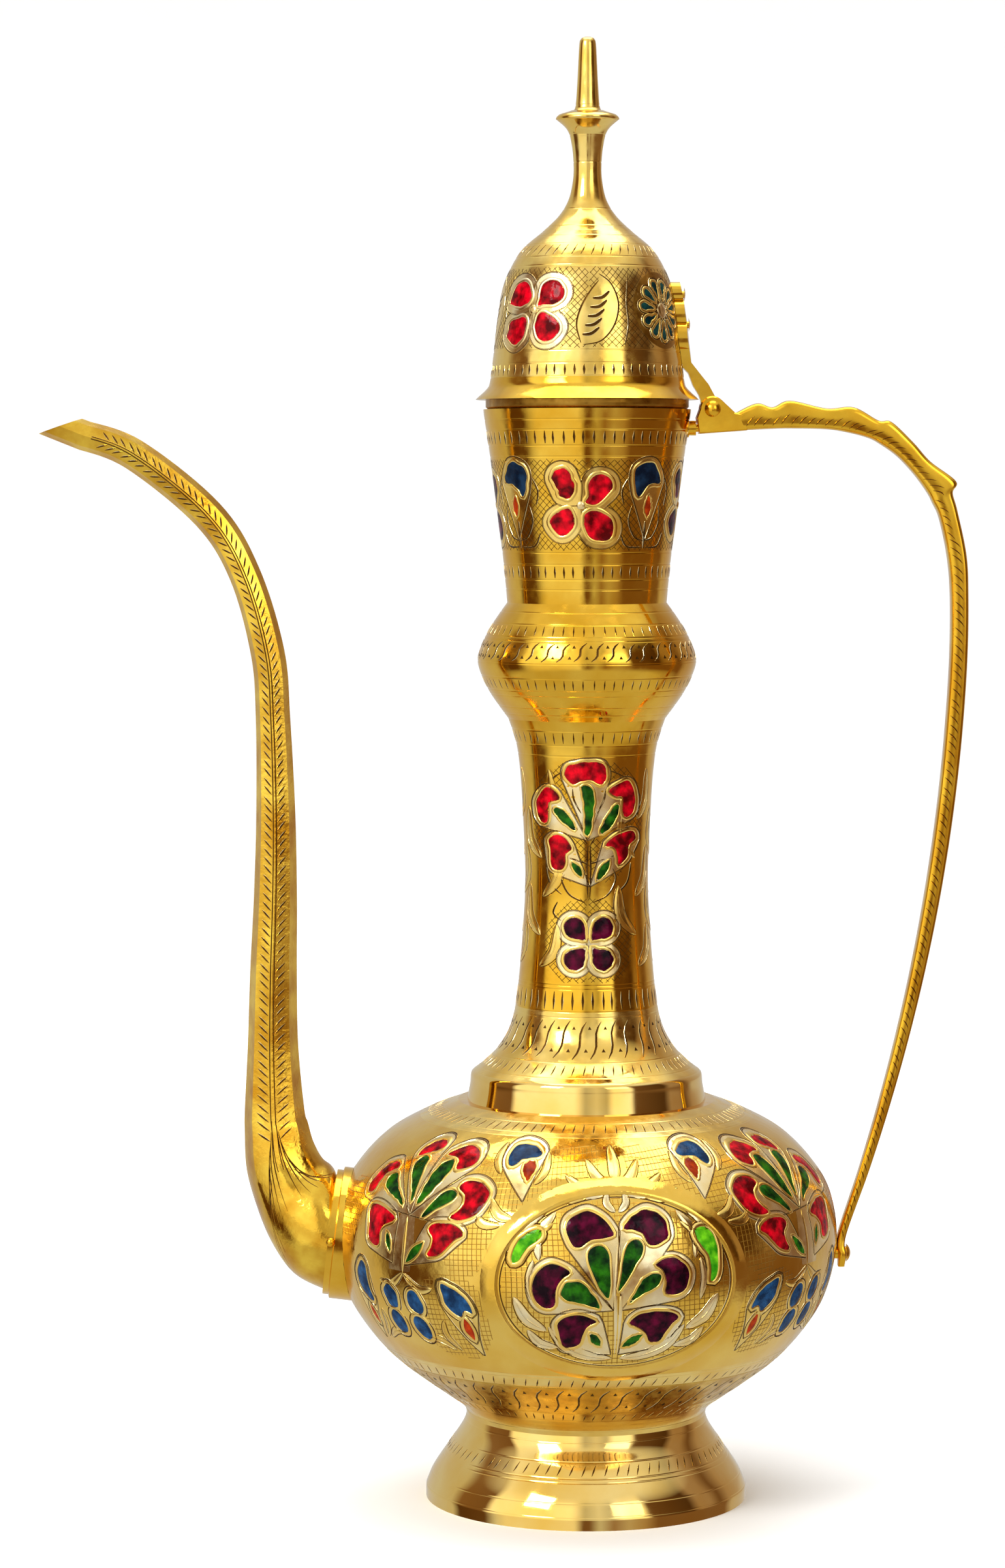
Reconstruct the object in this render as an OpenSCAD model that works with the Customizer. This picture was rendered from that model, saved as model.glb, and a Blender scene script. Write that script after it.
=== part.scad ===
// Brass surahi: a hinged-lid ewer with a faceted spout, a cast handle and enamelled flowers.
// The vessel is turned about Z and stands on z = 0. The spout points to -X, the handle to +X,
// and the front panel faces -Y. All sizes are millimetres.

/* [Foot] */
// Height of the foot ring
foot_h = 22; // [16:1:30]
// Radius of the foot where it stands
foot_r = 42; // [38:0.5:50]
// Height of the upright band at the bottom of the foot
foot_lip_h = 3; // [2:0.5:6]

/* [Belly] */
// Radius of the belly at its widest
belly_r = 65.6; // [58:0.2:76]
// Radius of the belly's tail where it meets the foot
tail_r = 31.3; // [27:0.1:36]
// Height of the belly below its widest line
belly_low_h = 46; // [40:1:56]
// Height of the belly above its widest line
belly_top_h = 36.8; // [32:0.2:46]
// Radius where the belly's shoulder meets the neck
shoulder_r = 33.5; // [32.5:0.1:37]

/* [Neck] */
// Height of the neck from the belly to the knop
neck_h = 99.7; // [80:0.1:120]
// Radius of the polished band at the neck's base
neck_base_r = 31.2; // [29.5:0.1:32]
// Height of the polished band at the neck's base
neck_band_h = 7; // [5:0.5:10]
// Radius of the neck at its waist
waist_r = 16; // [13:0.1:18]
// Radius where the neck meets the knop
neck_top_r = 20.4; // [19.5:0.1:22]

/* [Knop and mouth cup] */
// Radius of the knop at its widest
knop_r = 28.4; // [25:0.1:34]
// Height of the knop
knop_h = 30.1; // [24:0.1:38]
// Height of the mouth cup
cup_h = 49.9; // [40:0.1:60]
// Radius of the mouth cup at its foot
cup_low_r = 20.7; // [19.5:0.1:22.5]
// Radius of the mouth cup at its rim
cup_top_r = 26.9; // [24:0.1:32]

/* [Lid] */
// Height of the seat ring that shows between the cup and the lid's rim
seat_h = 2.5; // [2:0.1:4]
// How far the lid's rim stands out past the cup
rim_overhang = 2; // [1:0.1:3]
// Height of the lid's dome
dome_h = 43; // [36:0.5:54]
// Radius of the dome just above its flared rim
dome_low_r = 25.2; // [23.5:0.1:29]
// Radius of the dome where the finial stands on it
dome_top_r = 11.8; // [9:0.1:14]
// How deep the plug under the lid reaches into the cup
plug_h = 4; // [3:0.5:8]
// Height of the finial
finial_h = 50; // [38:1:64]
// Radius of the finial's disc
disc_r = 8.4; // [6:0.1:11]

/* [Hinge] */
// Radius of the hinge pin
pin_r = 1.5; // [1:0.1:1.7]
// Distance from the lid's rim to the hinge pin
pin_out = 3.4; // [3.2:0.1:5]
// Width of the strap's knuckle
knuckle_w = 4; // [3:0.2:6]
// Thickness of each ear of the handle's fork
ear_t = 2; // [1.4:0.1:3]
// Height of the strap above the hinge pin
strap_h = 32.7; // [28:0.1:36]
// Thickness of the strap's leaf
strap_t = 2.4; // [2:0.1:3.5]
// Width of the strap's leaf at its widest lobe
strap_w = 10; // [8:0.5:14]
// Radius of the strap's rivets
strap_rivet_r = 0.9; // [0.6:0.1:1.2]

/* [Handle] */
// Reach of the handle past the hinge pin
handle_reach = 64.3; // [54:0.1:76]
// Depth of the handle's grip, seen from the side
grip_d = 4.5; // [3.5:0.1:7]
// Width of the handle's arch, seen from the end
arch_w = 7; // [5:0.1:8]
// Width of the handle at its foot
handle_foot_w = 5.4; // [4:0.1:6.5]
// How far the grip bows out from a straight line
grip_bow = 6; // [2:0.5:10]
// Radius of the rivet that holds the handle's foot
foot_rivet_r = 1.6; // [1.2:0.1:2.2]

/* [Spout] */
// Radius of the spout at its root
root_r = 15; // [13:0.1:17]
// Height of the spout's slender stem
stem_h = 102; // [80:1:120]
// Radius of the stem at its lower end
stem_low_r = 7; // [5.5:0.1:8]
// Radius of the stem at its upper end
stem_top_r = 4.5; // [3.8:0.1:5.4]
// Radius of the spout at its tip
tip_r = 3.9; // [3.2:0.1:4.5]
// Angle that the spout's root rises at
root_rise = 7; // [0:1:14]
// Radius of the hole from the belly into the spout
spout_hole_r = 11; // [8:0.5:12.5]

/* [Walls and fits] */
// Wall of the spun brass pieces
wall = 1.8; // [1.4:0.1:2.2]
// Wall of the spout
spout_wall = 1.2; // [0.9:0.1:1.4]
// Height of the collars that centre one piece in the next
collar_h = 3; // [2:0.5:5]
// Gap at soldered seams and rivets
solder_gap = 0.05; // [0.02:0.01:0.1]
// Running gap of the hinge pin, on the radius
pin_gap = 0.05; // [0.02:0.01:0.1]
// Gap between the lid and the cup
lid_gap = 0.3; // [0.2:0.05:0.6]
// Thickness of the enamel
enamel_t = 0.35; // [0.2:0.05:0.6]
// Gap under the enamel
enamel_gap = 0.02; // [0.01:0.01:0.05]

/* [Hidden] */
$fn = 96;

brass = "goldenrod";
cast_brass = "gold";

// Heights of the seams, from the floor up
belly_z = foot_h;
widest_z = belly_z + belly_low_h;
neck_z = widest_z + belly_top_h;
knop_z = neck_z + neck_h;
cup_z = knop_z + knop_h;
rim_z = cup_z + cup_h;
lid_z = rim_z + seat_h;
finial_z = lid_z + dome_h;

// Radii that pieces share
lid_rim_r = cup_top_r + rim_overhang;
cup_in_r = cup_top_r - wall;
seat_r = cup_top_r - wall / 3;
plug_r = cup_in_r - 2 * lid_gap;
dome_in_r = dome_low_r - wall;
tenon_r = 4;

// The hinge
pin_x = lid_rim_r + pin_out;
pin_z = rim_z + 0.1;
side_gap = 0.2;
slot_w = knuckle_w + 2 * side_gap;
fork_w = slot_w + 2 * ear_t;
ear_r = pin_out - 0.1;
knuckle_r = ear_r - 0.4;

// Curves

// Point of a smooth curve through four control points, between the middle two
function curve_point(a, b, c, d, t) =
    0.5 * (2 * b + (c - a) * t + (2 * a - 5 * b + 4 * c - d) * t * t
           + (3 * b - a - 3 * c + d) * t * t * t);

// Smooth curve through control points, with n steps to a span
function smooth(p, n) =
    let (last = len(p) - 1)
    [for (i = [0 : last - 1], k = [0 : n - 1])
        curve_point(p[max(i - 1, 0)], p[i], p[i + 1], p[min(i + 2, last)], k / n),
     p[last]];

// Stretch of a profile, from shares of its change of radius and of its height
function stretch(r0, r1, z0, z1, shares) =
    [for (s = shares) [r0 + (r1 - r0) * s[0], z0 + (z1 - z0) * s[1]]];

// Profile moved along its normals, out of the metal for d > 0
function shifted(p, d) =
    let (last = len(p) - 1)
    [for (i = [0 : last])
        let (t = p[min(i + 1, last)] - p[max(i - 1, 0)])
        p[i] + d * [t[1], -t[0]] / norm(t)];

function reversed(p) = [for (i = [len(p) - 1 : -1 : 0]) p[i]];

// Radius of a profile at a height
function radius_at(p, z) = lookup(z, [for (q = p) [q[1], q[0]]]);

// Outer profiles, from the bottom of each piece to its top

foot_out = smooth([[foot_r, 0], [foot_r, foot_lip_h],
    each stretch(foot_r, tail_r, foot_lip_h, foot_h,
                 [[0.18, 0.23], [0.6, 0.58], [0.9, 0.84], [1, 1]])], 3);

belly_out = smooth(concat(
    stretch(tail_r, belly_r, belly_z, widest_z,
            [[0, 0], [0.05, 0.07], [0.31, 0.21], [0.575, 0.363], [0.78, 0.537], [0.925, 0.73]]),
    stretch(belly_r, shoulder_r, widest_z, neck_z,
            [[0, 0], [0.05, 0.326], [0.19, 0.55], [0.424, 0.76], [0.72, 0.905], [1, 1]])), 3);

ledge_z = neck_z + neck_band_h;
waist_z = neck_z + 0.58 * neck_h;
ledge_r = neck_base_r - 1;
neck_out = concat(
    [[neck_base_r, neck_z], [ledge_r + 0.2, neck_z + 0.6 * neck_band_h], [ledge_r, ledge_z]],
    smooth(concat(
        stretch(ledge_r, waist_r, ledge_z + 0.6, waist_z,
                [[0.04, 0], [0.31, 0.06], [0.57, 0.145], [0.76, 0.26], [0.87, 0.45],
                 [0.96, 0.75], [1, 1]]),
        stretch(waist_r, neck_top_r, waist_z, knop_z,
                [[0.09, 0.3], [0.27, 0.63], [0.52, 0.84], [1, 1]])), 2));

knop_mid_z = knop_z + knop_h / 2;
knop_shares = [[0, 0], [0.32, 0.23], [0.61, 0.46], [0.87, 0.74]];
knop_out = smooth(concat(
    stretch(neck_top_r, knop_r, knop_z, knop_mid_z, knop_shares), [[knop_r, knop_mid_z]],
    reversed(stretch(cup_low_r, knop_r, cup_z, knop_mid_z, knop_shares))), 2);

cup_out = smooth(stretch(cup_low_r, cup_top_r, cup_z, rim_z,
    [[0, 0], [0.2, 0.26], [0.56, 0.62], [0.95, 0.95], [1, 1]]), 3);

flare_h = 4.5;
dome_out = smooth(concat(
    stretch(lid_rim_r, dome_low_r, lid_z, lid_z + flare_h,
            [[0, 0], [0.15, 0.13], [0.7, 0.55], [1, 1]]),
    stretch(dome_low_r, dome_top_r, lid_z + flare_h, finial_z,
            [[0.08, 0.22], [0.15, 0.43], [0.26, 0.64], [0.44, 0.79], [0.66, 0.9], [1, 1]])), 3);

// The finial's stem, disc and spire, as heights in the finial and radii
stem_r = 3.6;
spire_z = finial_z + 0.64 * finial_h;
disc_z = finial_z + 0.585 * finial_h;
finial_out = concat(
    smooth(concat(
        stretch(dome_top_r, stem_r, finial_z, disc_z,
                [[0, 0], [0.52, 0.14], [0.83, 0.28], [0.97, 0.44], [1, 0.58], [0.95, 0.75]]),
        [[5.2, disc_z - 3], [disc_r, disc_z]]), 3),
    smooth([[disc_r - 1.1, disc_z + 1], [4.2, disc_z + 2], [3.2, spire_z], [2.7, spire_z + 6],
            [2.2, finial_z + finial_h - 2.5], [1.9, finial_z + finial_h - 0.7],
            [1.1, finial_z + finial_h], [0, finial_z + finial_h]], 2));

// Plug of the lid, strap and finial
plug_taper = (cup_top_r - cup_low_r) / cup_h;
tenon_h = 5;
strap_top_z = pin_z + strap_h;
strap_low_z = pin_z + 12.5;
strap_leaf_z = strap_low_z - 1.5;
strap_lobes = [[0.55, 0], [0.8, 0.42], [1, 0.95]];
strap_rivet_z = [strap_top_z - 0.32 * strap_w, strap_top_z - 1.1 * strap_w];
pin_head_r = pin_r + 0.55;
rivet_seat = 0.4;

// Fork, lug and foot of the handle
fork_l = 9;
notch_x = 5.8;
chin_out = 4.1;
chin_drop = 6.4;
lug_r = 2.4;
lug_tenon_r = 1;
lug_z = pin_z - 4.9;
handle_rivet_z = widest_z - 4;
pad_t = 2.2;
pad_gap = 0.4;
pad_x = belly_r + pad_gap;
pad_w = 7;

// Stations along the handle's arch from the hinge pin: shares of the reach and drops, for the
// inner and the outer edge. The outer edge rises in four humps and ends in a pointed knob.
arch_edges = [
    [0.093, -5.6, 0.093, -1], [0.179, -5.3, 0.179, 1.5], [0.243, -5.1, 0.243, 0.5],
    [0.313, -5, 0.313, 2.2], [0.457, -5.2, 0.46, 0.2], [0.544, -6, 0.569, 0.5],
    [0.628, -7.4, 0.669, -2.9], [0.677, -9, 0.722, -3.3], [0.747, -12.2, 0.81, -8.6],
    [0.816, -16.9, 0.879, -13.5], [0.868, -21.5, 0.983, -18.6], [0.891, -24.3, 0.97, -21.6],
    [0.918, -28.2, 0.989, -26.2], [0.95, -37.6, 1.027, -37.6], [0.965, -47.8, 1.036, -47.8]];
arch_end_drop = 63;

// The grip bows from the arch's end to the pad on the belly
grip_x0 = pin_x + handle_reach;
grip_z0 = pin_z - arch_end_drop;
grip_x1 = pad_x + pad_t / 2;
grip_z1 = handle_rivet_z + 5;
grip_steps = 9;
bar_stations = concat(
    [for (e = arch_edges) [pin_x + handle_reach * e[0], pin_z + e[1],
                           pin_x + handle_reach * e[2], pin_z + e[3], arch_w / 2]],
    [for (i = [0 : grip_steps])
        let (t = i / grip_steps,
             x = grip_x0 + (grip_x1 - grip_x0) * t + 4 * grip_bow * t * (1 - t),
             z = grip_z0 + (grip_z1 - grip_z0) * t,
             d = (grip_d + (pad_t - grip_d) * t * t) / 2)
        [x - d, z, x + d, z, (arch_w + (handle_foot_w - arch_w) * t) / 2]],
    [[pad_x, handle_rivet_z, pad_x + pad_t, handle_rivet_z, pad_w / 2],
     [pad_x, handle_rivet_z - 3.4, pad_x + pad_t * 0.8, handle_rivet_z - 3.4, pad_w / 3]]);

// Root of the spout and the flange round it
root_z = widest_z + 1;
root_x = belly_r - root_r * root_r / (2 * belly_r) - 1.9;
root_seat = 3.2;
flange_r = root_r + 2.3;
flange_t = 5.2;
flange_skirt = 5;
flange_step_r = flange_r - 0.9;
spout_pin_r = 0.9;
spout_head_r = 1.3 * spout_pin_r;
bore_edge = root_r + 2 * solder_gap;

// Stations along the spout from its root: out, up, radius and the tilt of its line. It leaves
// the flange as a round bulb, turns up into a slender stem and bends out again to the mouth.
stem_x = 19.5;
stem_z = 33;
stem_lean = 0.5;
bend_z = stem_z + stem_h;
spout_sides = 16;
facet_start = 11;
function root_station(along) = [along * cos(root_rise), along * sin(root_rise), root_r, root_rise];
bulb_stations = [
    root_station(flange_t + 0.3), [9.3, 3.3, root_r - 0.4, 21], [12.6, 7.7, root_r - 2, 35],
    [15.7, 13.5, stem_low_r + 3.8, 53], [18.2, 20.6, stem_low_r + 2.5, 68],
    [19.2, 28, stem_low_r + 1.4, 80]];
stem_stations = [for (k = [0, 0.17, 0.36, 0.55, 0.76, 1])
    [stem_x + stem_lean * cos(360 * (k - 0.2)), stem_z + stem_h * k,
     stem_low_r + (stem_top_r - stem_low_r) * k + (k == 0 ? 0.8 : 0), 88]];
bend_stations = [
    [stem_x + 1.5, bend_z + 17.5, stem_top_r - 0.1, 79], [stem_x + 7.4, bend_z + 38, stem_top_r - 0.4, 66],
    [stem_x + 16.9, bend_z + 53.4, stem_top_r - 0.3, 48], [stem_x + 36, bend_z + 68.9, tip_r + 0.2, 31],
    [stem_x + 49.5, bend_z + 74, tip_r, 22]];
spout_path = [for (s = concat([root_station(root_seat + solder_gap)],
                              smooth(concat(bulb_stations, stem_stations, bend_stations), 2)))
    [-root_x - s[0], root_z + s[1], s[2], s[3]]];

// The mouth is cut across the tip: a point on its upper edge, and the cut's normal
mouth_slope = 19;
mouth_dir = [-sin(mouth_slope), cos(mouth_slope)];
mouth_edge = let (p = spout_path[len(spout_path) - 1]) [p[0] + 0.25 * tip_r, p[1] + 1.13 * tip_r];

// Solid of revolution from a closed outline
module turned(outline) {
    rotate_extrude() polygon(outline);
}

// Solid inside an outer profile, grown by a gap, for fitting other pieces to it
module filled(out, gap) {
    grown = shifted(out, gap);
    turned(concat([[0, grown[0][1]]], grown, [[0, grown[len(grown) - 1][1]]]));
}

// Outline of a spun shell: its wall, the socket at its foot and the collar or open rim at its top
function shell_outline(out, collar_r) =
    let (last = len(out) - 1, z0 = out[0][1], z1 = out[last][1],
         socket_r = out[0][0] - wall, socket_z = z0 + collar_h + 0.3)
    concat(out,
        collar_r > 0
            ? [[collar_r, z1], [collar_r, z1 + collar_h],
               [collar_r - wall, z1 + collar_h], [collar_r - wall, z1 - wall]]
            : [[out[last][0] - wall, z1]],
        reversed([for (p = shifted(out, -wall)) if (p[1] > socket_z + 0.2 && p[1] < z1 - 0.9 * wall) p]),
        [[socket_r, socket_z], [socket_r, z0]]);

// Places children in the spout's root frame, with +Z along the spout
module at_root() {
    translate([-root_x, 0, root_z]) rotate([0, root_rise - 90, 0]) children();
}

// Round piece along +X from a place on the side of the vessel
module along_x(x, z) {
    translate([x, 0, z]) rotate([0, 90, 0]) children();
}

// Body of the vessel

module foot_ring() {
    in = shifted(foot_out, -wall);
    last = len(foot_out) - 1;
    color(brass) turned(concat(foot_out, [[tail_r - wall, foot_h]],
        reversed([for (i = [1 : last - 1]) in[i]]), [[foot_r - wall, 0]]));
}

module belly() {
    floor_z = belly_z + wall;
    in = [for (p = shifted(belly_out, -wall)) if (p[1] > floor_z + 0.2) p];
    collar_r = neck_base_r - wall - solder_gap;
    color(brass) difference() {
        turned(concat(belly_out,
            [[collar_r, neck_z], [collar_r, neck_z + collar_h],
             [collar_r - wall, neck_z + collar_h], [collar_r - wall, neck_z - wall]],
            reversed(in), [[tail_r - wall, floor_z], [0, floor_z], [0, belly_z]]));
        at_root() cylinder(r = spout_hole_r, h = 2 * spout_hole_r, center = true);
        along_x(belly_r - 2 * wall, handle_rivet_z)
            cylinder(r = foot_rivet_r + solder_gap, h = 3 * wall);
    }
}

module neck_tube() {
    color(brass) turned(shell_outline(neck_out, neck_top_r - wall - solder_gap));
}

module neck_knop() {
    color(brass) turned(shell_outline(knop_out, cup_low_r - wall - solder_gap));
}

module mouth_cup() {
    color(brass) turned(shell_outline(cup_out, 0));
}

// Lid

module lid_skirt() {
    low_z = rim_z - plug_h;
    seat_z = rim_z + lid_gap / 2;
    collar_r = dome_in_r - solder_gap;
    in_r = collar_r - wall;
    color(brass) turned([[plug_r - plug_h * plug_taper, low_z], [plug_r, rim_z], [plug_r, seat_z],
        [seat_r, seat_z], [seat_r, lid_z], [collar_r, lid_z], [collar_r, lid_z + collar_h],
        [in_r, lid_z + collar_h], [in_r, low_z]]);
}

module lid_dome() {
    flare_z = lid_z + flare_h;
    hole_r = tenon_r + solder_gap;
    in = [for (p = shifted(dome_out, -wall)) if (p[1] > flare_z + 0.5 && p[1] < finial_z - wall) p];
    color(brass) difference() {
        turned(concat(dome_out, [[hole_r, finial_z], [hole_r, finial_z - wall]], reversed(in),
                      [[dome_in_r, flare_z], [dome_in_r, lid_z]]));
        for (z = strap_rivet_z)
            along_x(radius_at(dome_out, z) - 2 * wall, z)
                cylinder(r = strap_rivet_r + solder_gap, h = 3 * wall);
    }
}

module lid_finial() {
    color(brass) turned(concat([[0, finial_z - tenon_h], [tenon_r, finial_z - tenon_h],
        [tenon_r, finial_z]], finial_out));
}

// Side outline of the strap's arm: from the foot of the leaf out past the rim to the knuckle
module strap_arm_side() {
    top = strap_low_z + 1;
    polygon([[dome_low_r - wall, top], [radius_at(dome_out, top) + strap_t / 2, top],
             [pin_x - 3.6, pin_z + 9.6], [pin_x - 1, pin_z + 6.4], [pin_x + 0.9, pin_z + knuckle_r],
             [pin_x - knuckle_r, pin_z], [pin_x - 3, pin_z + 2.2], [pin_x - 3.5, pin_z + 3.6],
             [pin_x - 5, pin_z + 6], [pin_x - 6.2, pin_z + 9.2], [dome_low_r - wall, strap_low_z - 0.5]]);
}

// Face outline of the strap: a leaf of three lobes on a narrow stalk
module strap_face() {
    translate([-knuckle_w / 2, pin_z - knuckle_r]) square([knuckle_w, strap_h - strap_w]);
    for (lobe = strap_lobes)
        let (r = lobe[0] * strap_w / 2)
        translate([0, strap_top_z - r - lobe[1] * strap_w]) circle(r = r);
    polygon([[-knuckle_w / 2, pin_z + 8], [knuckle_w / 2, pin_z + 8],
             [0.48 * strap_w, strap_top_z - 1.5 * strap_w], [-0.48 * strap_w, strap_top_z - 1.5 * strap_w]]);
}

module lid_strap() {
    dome_side = [for (p = dome_out) if (p[1] > lid_z + flare_h) p];
    color(cast_brass) difference() {
        union() {
            intersection() {
                rotate([90, 0, 90]) linear_extrude(2 * pin_x) strap_face();
                union() {
                    intersection() {
                        filled(dome_side, strap_t);
                        translate([0, -strap_w, strap_leaf_z]) cube([2 * pin_x, 2 * strap_w, strap_h]);
                    }
                    rotate([90, 0, 0]) linear_extrude(1.2 * strap_w, center = true) strap_arm_side();
                }
            }
            translate([pin_x, 0, pin_z]) rotate([90, 0, 0])
                cylinder(r = knuckle_r, h = knuckle_w, center = true);
        }
        filled(dome_out, solder_gap);
        translate([pin_x, 0, pin_z]) rotate([90, 0, 0])
            cylinder(r = pin_r + pin_gap, h = 2 * knuckle_w, center = true);
        for (z = strap_rivet_z)
            along_x(radius_at(dome_out, z) - wall, z)
                cylinder(r = strap_rivet_r + solder_gap, h = 2 * wall + 2 * strap_t);
    }
}

// Rivet along +Z: a shank from z = 0 to grip, then a domed head
module rivet(shank_r, grip, head_r, head_h) {
    dome_r = (head_r * head_r + head_h * head_h) / (2 * head_h);
    rotate_extrude() {
        square([shank_r, grip]);
        intersection() {
            translate([0, grip]) square([head_r, head_h]);
            translate([0, grip + head_h - dome_r]) circle(r = dome_r);
        }
    }
}

module strap_rivets() {
    color(cast_brass) for (z = strap_rivet_z)
        along_x(radius_at(dome_out, z) - wall, z)
            rivet(strap_rivet_r, wall + strap_t + rivet_seat, 2 * strap_rivet_r, 0.4 * strap_rivet_r);
}

module hinge_pin() {
    color(cast_brass) translate([pin_x, 0, pin_z]) for (side = [1, -1])
        rotate([90 * side, 0, 0]) rivet(pin_r, fork_w / 2 + solder_gap, pin_head_r, 0.7 * pin_r);
}

// Handle

// Ring of the handle's bar between an inner and an outer edge point: a rectangle with cut corners
function bar_ring(s) =
    let (a = [s[0], 0, s[1]], b = [s[2], 0, s[3]], w = s[4], cut = 0.3, u = b - a, v = [0, w, 0])
    [a - v * (1 - 2 * cut), a + u * cut - v, a + u * (1 - cut) - v, b - v * (1 - 2 * cut),
     b + v * (1 - 2 * cut), a + u * (1 - cut) + v, a + u * cut + v, a + v * (1 - 2 * cut)];

// Faces of a sweep with m points to a ring and n rings, closed by its two ends
function sweep_faces(m, n) = concat(
    [for (i = [0 : n - 2], k = [0 : m - 1])
        each let (a = i * m + k, b = i * m + (k + 1) % m)
        [[a, b, b + m], [a, b + m, a + m]]],
    [[for (k = [m - 1 : -1 : 0]) k]],
    [[for (k = [0 : m - 1]) (n - 1) * m + k]]);

module handle_bar() {
    rings = [for (s = smooth(bar_stations, 2)) bar_ring(s)];
    polyhedron([for (r = rings) each r], sweep_faces(8, len(rings)));
}

// Fork at the handle's upper end, with a chin that meets the lug
module fork_side() {
    translate([pin_x, pin_z]) {
        circle(r = ear_r);
        polygon([[-ear_r, 0], [-chin_out, -2.2], [-chin_out + 0.7, -chin_drop], [fork_l, -5.5],
                 [fork_l, -1.6], [notch_x, -0.9], [2.2, ear_r - 1]]);
    }
}

module handle() {
    slot_floor = pin_z - knuckle_r - 0.4;
    color(cast_brass) difference() {
        union() {
            handle_bar();
            rotate([90, 0, 0]) linear_extrude(fork_w, center = true) fork_side();
        }
        translate([pin_x - 2 * ear_r, -slot_w / 2, slot_floor])
            cube([2 * ear_r + fork_l + 1, slot_w, 4 * ear_r]);
        translate([pin_x, 0, pin_z]) rotate([90, 0, 0])
            cylinder(r = pin_r + solder_gap, h = 2 * fork_w, center = true);
        along_x(pin_x - 2 * chin_out, lug_z) cylinder(r = lug_tenon_r + solder_gap, h = 2 * chin_out);
        along_x(belly_r - wall, handle_rivet_z)
            cylinder(r = foot_rivet_r + solder_gap, h = 4 * pad_t);
    }
}

// Turned stud between the cup's wall and the handle's chin
module handle_lug() {
    chin_x = pin_x - chin_out;
    cup_x = radius_at(cup_out, lug_z);
    bead = (chin_x - cup_x + wall) / 2;
    color(cast_brass) difference() {
        along_x(cup_x - wall, lug_z) {
            cylinder(r = lug_r, h = bead);
            cylinder(r = lug_r * 0.8, h = 2 * bead - solder_gap);
            cylinder(r = lug_tenon_r, h = 2 * bead + chin_out - 0.5);
        }
        filled(cup_out, solder_gap);
    }
}

module handle_rivet() {
    x0 = belly_r - 2 * wall;
    color(cast_brass) along_x(x0, handle_rivet_z)
        rivet(foot_rivet_r, pad_x + pad_t - x0 + solder_gap, 1.5 * foot_rivet_r, 0.7 * foot_rivet_r);
}

// Spout

// Ring of the spout at a station: round at the root, eight-sided with edges in front and behind
// further out, and run on to the mouth's cut at the tip
function spout_ring(s, inset, faceted, at_tip) =
    let (t = [-cos(s[3]), sin(s[3])])
    [for (k = [0 : spout_sides - 1])
        let (a = 360 * k / spout_sides, off = a % 45 - 22.5,
             f = (s[2] - inset) * (1 - faceted + faceted * cos(22.5) / cos(off)),
             p = [s[0] + f * cos(a) * t[1], f * sin(a), s[1] - f * cos(a) * t[0]],
             run = at_tip ? (mouth_edge - [p[0], p[2]]) * mouth_dir / (t * mouth_dir) : 0)
        [p[0] + t[0] * run, p[1], p[2] + t[1] * run]];

module spout() {
    last = len(spout_path) - 1;
    function ring(i, inset) = spout_ring(spout_path[i], inset, min(1, i / facet_start), i == last);
    rings = concat([for (i = [0 : last]) ring(i, 0)],
                   [for (i = [last : -1 : 0]) ring(i, spout_wall)]);
    m = spout_sides;
    n = len(rings);
    color(brass) polyhedron([for (r = rings) each r],
        [for (i = [0 : n - 1], k = [0 : m - 1])
            each let (j = (i + 1) % n, a = i * m + k, b = i * m + (k + 1) % m,
                      c = j * m + (k + 1) % m, d = j * m + k)
            [[a, c, b], [a, d, c]]]);
}

// Stepped ring that seats the spout on the belly
module spout_flange() {
    bore = root_r + solder_gap;
    color(brass) difference() {
        at_root() rotate_extrude()
            polygon([[spout_hole_r, -flange_skirt], [flange_r, -flange_skirt], [flange_r, flange_t - 1.8],
                     [flange_step_r, flange_t - 1.5], [flange_step_r, flange_t], [bore, flange_t],
                     [bore, root_seat], [spout_hole_r, root_seat]]);
        filled(belly_out, solder_gap);
        at_flange_pin() cylinder(r = spout_pin_r + solder_gap, h = flange_r);
        at_flange_pin() translate([0, 0, flange_step_r])
            cylinder(r = spout_head_r + solder_gap, h = flange_r);
    }
}

module at_flange_pin() {
    at_root() translate([0, 0, flange_t - 0.75]) rotate([90, 0, 0]) children();
}

module spout_pin() {
    color(cast_brass) at_flange_pin() translate([0, 0, bore_edge])
        rivet(spout_pin_r, flange_step_r - bore_edge + solder_gap, spout_head_r, 0.8 * spout_pin_r);
}

// Enamel

// Pointed leaf from the origin up
module lens(l, w) {
    r = (l * l + w * w) / (4 * w);
    translate([0, l / 2]) intersection() {
        translate([r - w / 2, 0]) circle(r = r);
        translate([w / 2 - r, 0]) circle(r = r);
    }
}

// Drop with its tip at the origin and its round head up
module drop(l, w) {
    r = w / 2;
    c = l - r;
    b = asin(r / c);
    steps = 7;
    polygon([[0, 0], for (i = [0 : steps])
        let (t = (180 + 2 * b) * i / steps - b)
        [r * cos(t), c + r * sin(t)]]);
}

// Oval about the origin
module oval(l, w) {
    steps = 14;
    polygon([for (i = [0 : steps - 1])
        let (t = 360 * i / steps)
        [w / 2 * cos(t), l / 2 * sin(t)]]);
}

// Four drops round a centre, two up and two down
module quartet(x, up, down, l, w) {
    for (side = [0, 1]) mirror([side, 0]) {
        translate([0.22 * x, 0.22 * up]) rotate(-atan2(x, up)) drop(l, w);
        translate([0.22 * x, -0.22 * down]) rotate(-180 + atan2(x, down)) drop(l, w);
    }
}

// Hand-cut cells: each outline runs round its cell, in mm right of and above the flower's centre
module cells(outlines) {
    for (o = outlines) polygon(o);
}

// Cells cut from a skin of enamel on a profile, each shape facing out at its angle and height
module enamel(out, tint) {
    color(tint) intersection() {
        turned(concat(shifted(out, enamel_gap), reversed(shifted(out, enamel_gap + enamel_t))));
        union() children();
    }
}

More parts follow.
